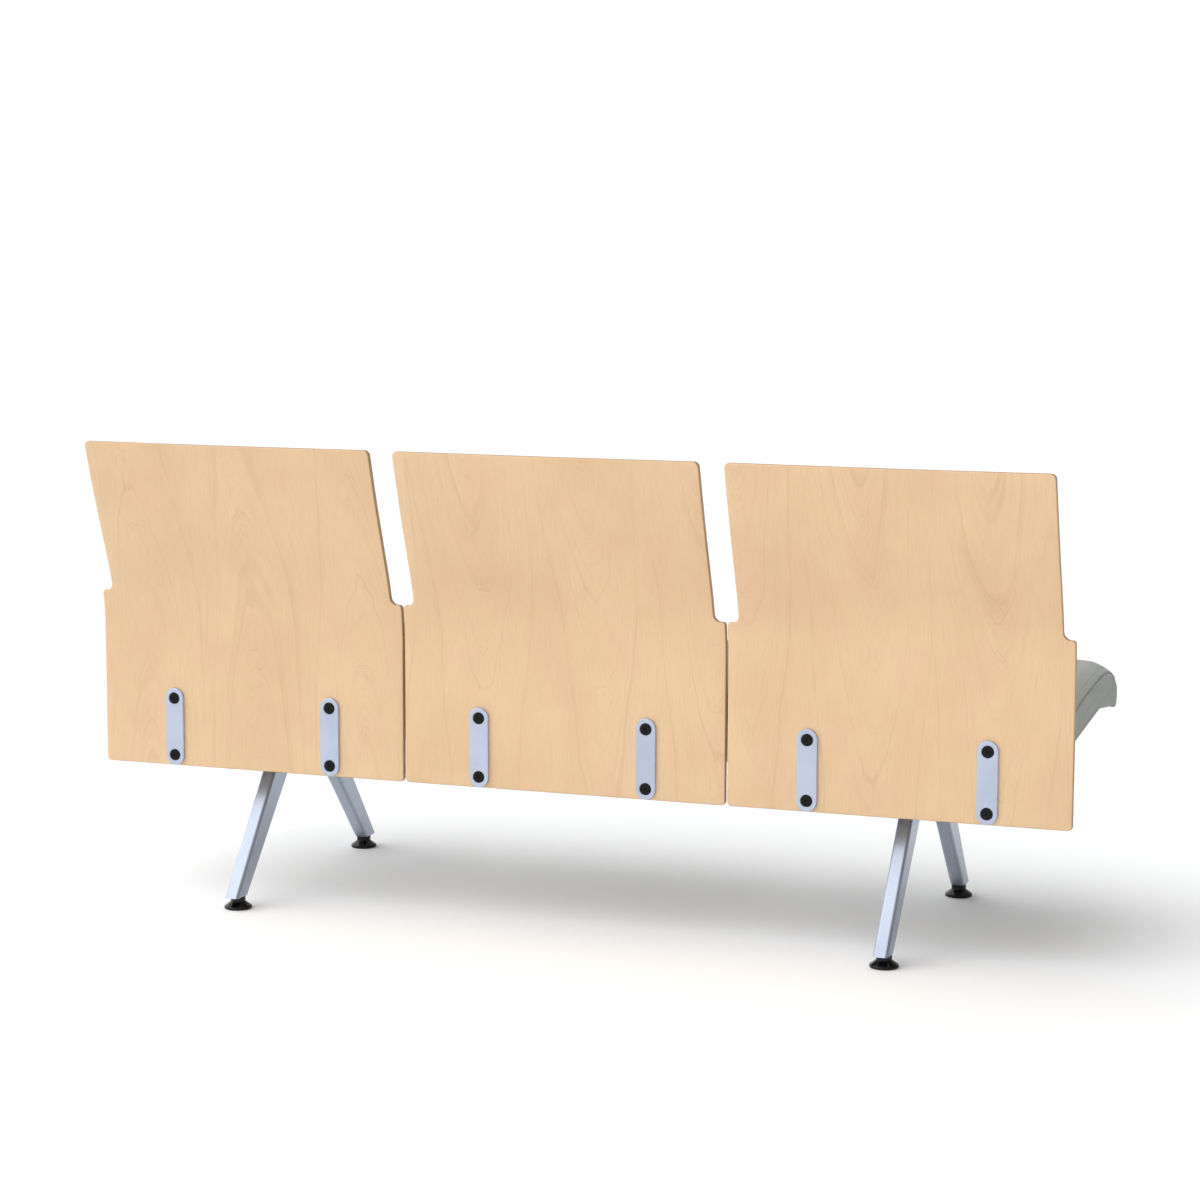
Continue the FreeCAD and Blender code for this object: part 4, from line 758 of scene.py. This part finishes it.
def cushion_grid():
    """Points of one cushion, its cloth coordinates, and the rows of its seams."""
    inner = SEAT_HALF - EDGE_STEPS[-1]
    middle = np.linspace(-inner, inner, 80)[1:-1]
    xs = np.concatenate([EDGE_STEPS - SEAT_HALF, middle, (SEAT_HALF - EDGE_STEPS)[::-1]])
    from_side = SEAT_HALF - np.abs(xs)
    inset = DRAW_IN * (1 - np.sqrt(1 - np.clip(1 - from_side / DRAW_REACH, 0, 1) ** 2))
    crown = CROWN * np.interp(from_side, CROWN_FROM_SIDE, CROWN_SHARES)
    below, over = side_profiles(inset, crown)
    loops = np.concatenate([below, over], 1)
    count = loops.shape[1]
    k = np.clip(np.arange(CHAIN), 12, CHAIN - 12)
    spine_below = (below[0][k] + over[0][CHAIN - k]) / 2
    j = np.clip(CHAIN - np.arange(CHAIN), 12, CHAIN - 12)
    spine_over = (below[0][j] + over[0][CHAIN - j]) / 2
    spine = np.concatenate([spine_below, spine_over])
    caps = spine + CAP_STEPS[:, None] * (loops[0] - spine)
    caps = np.concatenate([caps, spine[None]])
    rows = np.concatenate([caps[::-1], loops, caps])
    ends = np.full(len(caps), SEAT_HALF)
    row_x = np.concatenate([-ends, xs, ends])
    points = np.stack([np.repeat(row_x[:, None], count, 1), rows.real, rows.imag], -1)
    step = np.linalg.norm(np.diff(points[len(points) // 2], axis=0), axis=1)
    warp = np.concatenate([[0], np.cumsum(step)])
    shrink = np.linalg.norm(np.diff(points, axis=0), axis=-1).mean(1)
    weft = np.concatenate([[0], np.cumsum(shrink)])
    cloth = np.stack([np.repeat(warp[None], len(points), 0),
                      np.repeat(weft[:, None], count, 1), 0 * points[..., 0]], -1)
    first = len(caps)
    seam = first + int(np.argmin(abs(EDGE_STEPS - SEAM_ROW_AT)))
    stitch = first + int(np.argmin(abs(EDGE_STEPS - STITCH_ROW_AT)))
    last = len(points) - 1
    return points, cloth, (seam, last - seam), (stitch, last - stitch)


cushion_points, cushion_cloth, seam_rows, stitch_rows = cushion_grid()
print("cushion grid:", cushion_points.shape, "seams at rows", seam_rows)

# %% [markdown]
# Foam swells the cover until its seams stop it. The cloth simulation does just that: the shape
# starts a little small, air pressure pushes the cloth out, the part that lies on the pan is
# pinned, and how far any point may rise is capped. A cloth under pressure also creases, most of
# all in a corner, and one crease repeated on three seats would look like a fault. So only the
# outward rise is kept, made the same on both sides and smoothed over the grid. The simulation
# runs once, and its result serves all three seats.

# %% Cushion simulation
SWELL_START = 2.4 * MM
SWELL_CAP = 5.0 * MM
REAR_CAP = 0.6 * MM
SMOOTHING_PASSES = 8


def read_points(mesh, of="vertices"):
    source = mesh.vertices if of == "vertices" else mesh.vertex_normals
    values = np.empty(len(source) * 3, np.float32)
    source.foreach_get("co" if of == "vertices" else "vector", values)
    return values.reshape(-1, 3).astype(float)


def write_points(mesh, points):
    mesh.vertices.foreach_set("co", np.ascontiguousarray(points, np.float32).ravel())
    mesh.update()


def read_attribute(mesh, name):
    values = np.empty(len(mesh.vertices) * 3, np.float32)
    mesh.attributes[name].data.foreach_get("vector", values)
    return values.reshape(-1, 3)


def apply_modifiers(piece):
    """Replaces a piece's mesh by what its modifiers make of it."""
    graph = bpy.context.evaluated_depsgraph_get()
    finished = bpy.data.meshes.new_from_object(
        piece.evaluated_get(graph), preserve_all_data_layers=True, depsgraph=graph,
    )
    piece.modifiers.clear()
    piece.data = finished


def held_share(points):
    """1 where the cover lies on the pan or is drawn under it, falling to 0 at the free sides."""
    under = UNDERSIDE - SLOPE * points[:, 1]
    above_pan = points[:, 2] - under
    return np.clip(1 - (above_pan - 2 * MM) / (9 * MM), 0, 1)


def even_out(mesh, rise):
    """Mean of the rise and its mirror image across the seat, smoothed along and across it.

    Each pass gives a grid point a quarter of each neighbour's rise and half of its own.
    """
    row, column = read_attribute(mesh, "grid")[:, :2].round().astype(int).T
    field = np.zeros(cushion_points.shape[:2])
    field[row, column] = rise
    field = (field + field[::-1]) / 2
    for _ in range(SMOOTHING_PASSES):
        padded = np.pad(field, ((1, 1), (0, 0)), "edge")
        field = (padded[:-2] + 2 * field + padded[2:]) / 4
        field = (np.roll(field, 1, 1) + 2 * field + np.roll(field, -1, 1)) / 4
    return field[row, column]


def swell(cushion):
    """Blows the cover up against its pinned underside and caps how far it moves."""
    mesh = cushion.data
    shape, normals = read_points(mesh), read_points(mesh, "normals")
    held = held_share(shape)
    start = shape - normals * SWELL_START * (1 - held)[:, None]
    write_points(mesh, start)
    pins = cushion.vertex_groups.new(name="on_pan")
    for weight in (0.25, 0.5, 0.75, 1.0):
        chosen = np.flatnonzero(np.round(held * 4) / 4 == weight)
        pins.add(chosen.tolist(), weight, "REPLACE")
    cloth = cushion.modifiers.new("cover", "CLOTH")
    settings = cloth.settings
    settings.quality = 6
    settings.mass = 0.25
    settings.tension_stiffness = settings.compression_stiffness = 18
    settings.shear_stiffness = 8
    settings.bending_stiffness = 0.6
    settings.use_pressure = True
    settings.uniform_pressure_force = 4
    settings.effector_weights.gravity = 0
    settings.vertex_group_mass = "on_pan"
    cloth.point_cache.frame_start = 1
    cloth.point_cache.frame_end = 20
    for step in range(1, 21):
        bpy.context.scene.frame_set(step)
    apply_modifiers(cushion)
    bpy.context.scene.frame_set(1)
    mesh = cushion.data
    rise = np.clip(((read_points(mesh) - start) * normals).sum(1), 0, None)
    at_rear = np.clip((shape[:, 1] - (SEAT_REAR + BEAM_Y - 14 * MM)) / (10 * MM), 0, 1)
    limit = (SWELL_CAP * (1 - at_rear) + (SWELL_START + REAR_CAP) * at_rear) * (1 - held)
    rise = even_out(mesh, np.minimum(rise, limit))
    write_points(mesh, start + normals * rise[:, None])
    cushion.vertex_groups.clear()
    print("largest swell:", round(float(rise.max()) / MM, 2), "mm")


def carve_seams(cushion):
    """Sinks the seam between top and side, and the line of stitching inside it."""
    mesh = cushion.data
    points, normals = read_points(mesh), read_points(mesh, "normals")
    row = read_attribute(mesh, "grid")[:, 0]
    groove_shade = 0 * row
    for seam, stitch in zip(seam_rows, stitch_rows):
        inner = 1 if stitch > seam else -1
        depth = 2.2 * MM * (row == seam) + 1.1 * MM * (row == stitch)
        beside = (row - seam) * inner
        puff = 0.5 * MM * ((beside >= 1) & (beside <= 3))
        points += normals * (puff - depth)[:, None]
        # painted shade for the wool: full on the seam row, 0.3 on the stitch row, kept in the
        # cloth attribute
        groove_shade += 1.0 * (row == seam) + 0.3 * (row == stitch)
    write_points(mesh, points)
    cloth = read_attribute(mesh, "cloth")
    cloth[:, 2] = groove_shade
    mesh.attributes["cloth"].data.foreach_set("vector", np.ascontiguousarray(cloth).ravel())


rows, columns = cushion_points.shape[:2]
grid_row, grid_column = np.meshgrid(np.arange(rows), np.arange(columns), indexing="ij")
base_cushion = closed_surface(
    "seat_cushion", cushion_points + [0, BEAM_Y, 0], wool, "cloth", cushion_cloth,
    extra=("grid", np.stack([grid_row, grid_column, 0 * grid_row], -1)),
)
swell(base_cushion)
carve_seams(base_cushion)

# %% [markdown]
# Top stitching is a row of short proud threads, each a rounded rod that dives into the cloth at
# both ends. They are placed by walking the finished stitch line, so they follow the swollen
# surface. One small rod is worked out, and whole arrays put it at every stitch at once.

# %% Top stitching
STITCH_PITCH = 4.6 * MM
STITCH_LENGTH = 3.3 * MM
STITCH_RADIUS = 0.42 * MM
STITCH_SIDES = 6
STITCH_RINGS = np.array([-0.5, -0.36, 0.0, 0.36, 0.5])


def stitch_line(mesh, row):
    """Points and outward normals of the free part of one row, in order round the cushion."""
    grid = read_attribute(mesh, "grid")
    on_row = np.flatnonzero(grid[:, 0] == row)
    on_row = on_row[np.argsort(grid[on_row, 1])]
    column = grid[on_row, 1]
    free = on_row[(column >= CHAIN - 8) & (column <= 2 * CHAIN - 5)]
    return read_points(mesh)[free], read_points(mesh, "normals")[free]


def stitch_rods(spots, normals):
    """Rods laid end to end along the line: a circle swept along a short arch."""
    walked = np.concatenate([[0], np.cumsum(np.linalg.norm(np.diff(spots, axis=0), axis=1))])
    places = np.arange(STITCH_PITCH, walked[-1] - STITCH_PITCH, STITCH_PITCH)

    def follow(values, where):
        return np.stack([np.interp(where, walked, values[:, i]) for i in range(3)], -1)

    middle = follow(spots, places)
    heading = follow(spots, places + 1 * MM) - follow(spots, places - 1 * MM)
    heading /= np.linalg.norm(heading, axis=1)[:, None]
    out = follow(normals, places)
    out -= heading * (out * heading).sum(1)[:, None]
    out /= np.linalg.norm(out, axis=1)[:, None]
    across = np.cross(out, heading)
    angle = np.arange(STITCH_SIDES) * 2 * math.pi / STITCH_SIDES
    swell_at = np.sqrt(1 - (STITCH_RINGS * 1.84) ** 2)
    arch = STITCH_RADIUS * (1.1 - 5.2 * STITCH_RINGS ** 2)
    centre = (middle[:, None] + heading[:, None] * (STITCH_RINGS * STITCH_LENGTH)[None, :, None]
              + out[:, None] * arch[None, :, None])
    ring = (across[:, None, None] * np.cos(angle)[None, None, :, None]
            + out[:, None, None] * np.sin(angle)[None, None, :, None])
    return centre[:, :, None] + ring * (STITCH_RADIUS * swell_at)[None, :, None, None]


def stitching_mesh(name, mesh):
    """All stitches of a cushion as one mesh of small closed rods."""
    rods = np.concatenate([stitch_rods(*stitch_line(mesh, row)) for row in stitch_rows])
    count, ringed, sides = rods.shape[:3]
    per = ringed * sides
    tube = grid_faces(ringed, sides)
    caps = [np.arange(sides)[::-1], np.arange(sides) + per - sides]
    starts = (np.arange(count) * per)[:, None, None]
    faces = (tube[None] + starts).reshape(-1, 4).tolist()
    for cap in caps:
        faces += (cap[None] + starts[:, 0]).tolist()
    made = bpy.data.meshes.new(name)
    made.from_pydata(rods.reshape(-1, 3).tolist(), [], faces)
    shell = bmesh.new()
    shell.from_mesh(made)
    bmesh.ops.recalc_face_normals(shell, faces=shell.faces)
    shell.to_mesh(made)
    shell.free()
    made.shade_smooth()
    made.materials.append(thread.material)
    return made


stitching = stitching_mesh("top_stitching", base_cushion.data)
print("stitch faces:", len(stitching.polygons))

# %% [markdown]
# One subdivision rounds the carved rows into soft grooves. Then each seat gets its own copy of
# the cushion and its stitching, moved in the mesh and not in the object, so that every piece
# keeps the frame of the solids.

# %% Three seats
smoother = base_cushion.modifiers.new("soften", "SUBSURF")
smoother.levels = smoother.render_levels = 1
apply_modifiers(base_cushion)
base_cushion.data.attributes.remove(base_cushion.data.attributes["grid"])
base_cushion.data.shade_smooth()
for seat, x in SEATS.items():
    shift = Matrix.Translation((x, 0, 0))
    cover = bpy.data.objects.new(f"upholstered_seat_{seat}", base_cushion.data.copy())
    threads = bpy.data.objects.new(f"seat_stitching_{seat}", stitching.copy())
    for piece in (cover, threads):
        piece.data.transform(shift)
        bpy.context.scene.collection.objects.link(piece)
        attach(piece, "bench")
    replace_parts(cover, f"seat_cushion_{seat}")
bpy.data.objects.remove(base_cushion)
print("faces in a cushion:", len(cover.data.polygons))

# %% [markdown]
# The solids whose shape is already right keep it and only change their finish. The record of
# the part names a material slot for every node, so the finishes are handed out by slot.

# %% Finishes for the solids
FINISHES = {
    "beam_steel": beam_coat, "cap_plastic": cap_black, "leg_steel": silver,
    "plug_plastic": plug_black, "plated_fixings": zinc, "bracket_steel": black_coat,
    "strap_steel": strap_coat, "moulded_plywood": veneer, "black_screws": black_screw,
    "pan_plywood": pan_wood, "cushion_fabric": wool, "stud_steel": stud_zinc,
    "glide_plastic": glide_black,
}
for subpart in frame["record"]["subparts"]:
    solid = nodes[subpart["node"]]
    for holder in solid.material_slots:
        holder.material = FINISHES[subpart["material_slot"]].material
print("finishes handed out:", len(FINISHES))

# %% [markdown]
# The bench stands on a plain white floor that runs out to a white surround. The light is a
# studio's: a dome that is bright at the picture's left and dim at its right, a very wide distant
# light overhead that lays the broad soft shadow, and a weak panel behind the camera that opens
# up the backs. The exposure is raised a little, so that the floor runs out to plain white.

# %% Floor
FLOOR_SIZE = 60


def make_floor():
    paper = Finish("floor_paper", Roughness=0.9, Specular_IOR_Level=0.1)
    tone = paper.noise(paper.place(), 1.5, 2.0)
    paper.drive(Base_Color=paper.blend(tone, (0.945, 0.95, 0.957), (0.953, 0.958, 0.965)))
    half = FLOOR_SIZE / 2
    corners = [(-half, -half, 0), (half, -half, 0), (half, half, 0), (-half, half, 0)]
    mesh = bpy.data.meshes.new("floor")
    mesh.from_pydata(corners, [], [(0, 1, 2, 3)])
    mesh.materials.append(paper.material)
    floor = bpy.data.objects.new("floor", mesh)
    bpy.context.scene.collection.objects.link(floor)


make_floor()

# %% Light
DOME_DIM, DOME_BRIGHT = 0.12, 1.5


def make_surround():
    """White wherever the camera sees past the floor, and for the light a softer dome.

    The dome is brighter towards +X, the picture's left, and dimmer at the other end.
    """
    world = bpy.data.worlds.new("studio")
    world.use_nodes = True
    tree = world.node_tree
    dome = tree.nodes["Background"]
    dome.inputs["Color"].default_value = (1, 1, 1, 1)
    heading = tree.nodes.new("ShaderNodeTexCoord")
    parts = tree.nodes.new("ShaderNodeSeparateXYZ")
    sweep = tree.nodes.new("ShaderNodeMapRange")
    sweep.interpolation_type = "SMOOTHSTEP"
    for socket, value in (
        ("From Min", -0.7), ("From Max", 1.0), ("To Min", DOME_DIM), ("To Max", DOME_BRIGHT),
    ):
        sweep.inputs[socket].default_value = value
    tree.links.new(heading.outputs["Generated"], parts.inputs[0])
    tree.links.new(parts.outputs["X"], sweep.inputs["Value"])
    tree.links.new(sweep.outputs[0], dome.inputs["Strength"])
    seen = tree.nodes.new("ShaderNodeBackground")
    seen.inputs["Color"].default_value = (1, 1, 1, 1)
    path = tree.nodes.new("ShaderNodeLightPath")
    choice = tree.nodes.new("ShaderNodeMixShader")
    tree.links.new(path.outputs["Is Camera Ray"], choice.inputs[0])
    tree.links.new(dome.outputs[0], choice.inputs[1])
    tree.links.new(seen.outputs[0], choice.inputs[2])
    tree.links.new(choice.outputs[0], tree.nodes["World Output"].inputs[0])
    bpy.context.scene.world = world


def add_panel(name, spot, aim, width, height, power):
    """Rectangular studio light at a spot, turned towards a point."""
    light = bpy.data.lights.new(name, "AREA")
    light.shape = "RECTANGLE"
    light.size, light.size_y = width, height
    light.energy = power
    lamp = bpy.data.objects.new(name, light)
    lamp.location = spot
    lamp.rotation_euler = (Vector(aim) - Vector(spot)).to_track_quat("-Z", "Y").to_euler()
    bpy.context.scene.collection.objects.link(lamp)


def add_sky_light(name, heading, spread, strength):
    """Very wide distant light that shines from a heading."""
    light = bpy.data.lights.new(name, "SUN")
    light.angle = math.radians(spread)
    light.energy = strength
    lamp = bpy.data.objects.new(name, light)
    lamp.rotation_euler = Vector(heading).to_track_quat("Z", "Y").to_euler()
    bpy.context.scene.collection.objects.link(lamp)


make_surround()
add_sky_light("overhead", (0.42, 0.42, 0.86), 75, 1.15)
add_panel("behind_camera", (-2.4, 4.6, 2.2), (-0.6, 0, 0.6), 2.4, 2.0, 22)
bpy.context.scene.view_settings.view_transform = "Standard"
bpy.context.scene.view_settings.exposure = 0.2

# %% Update the scene and finish
bpy.context.view_layer.update()
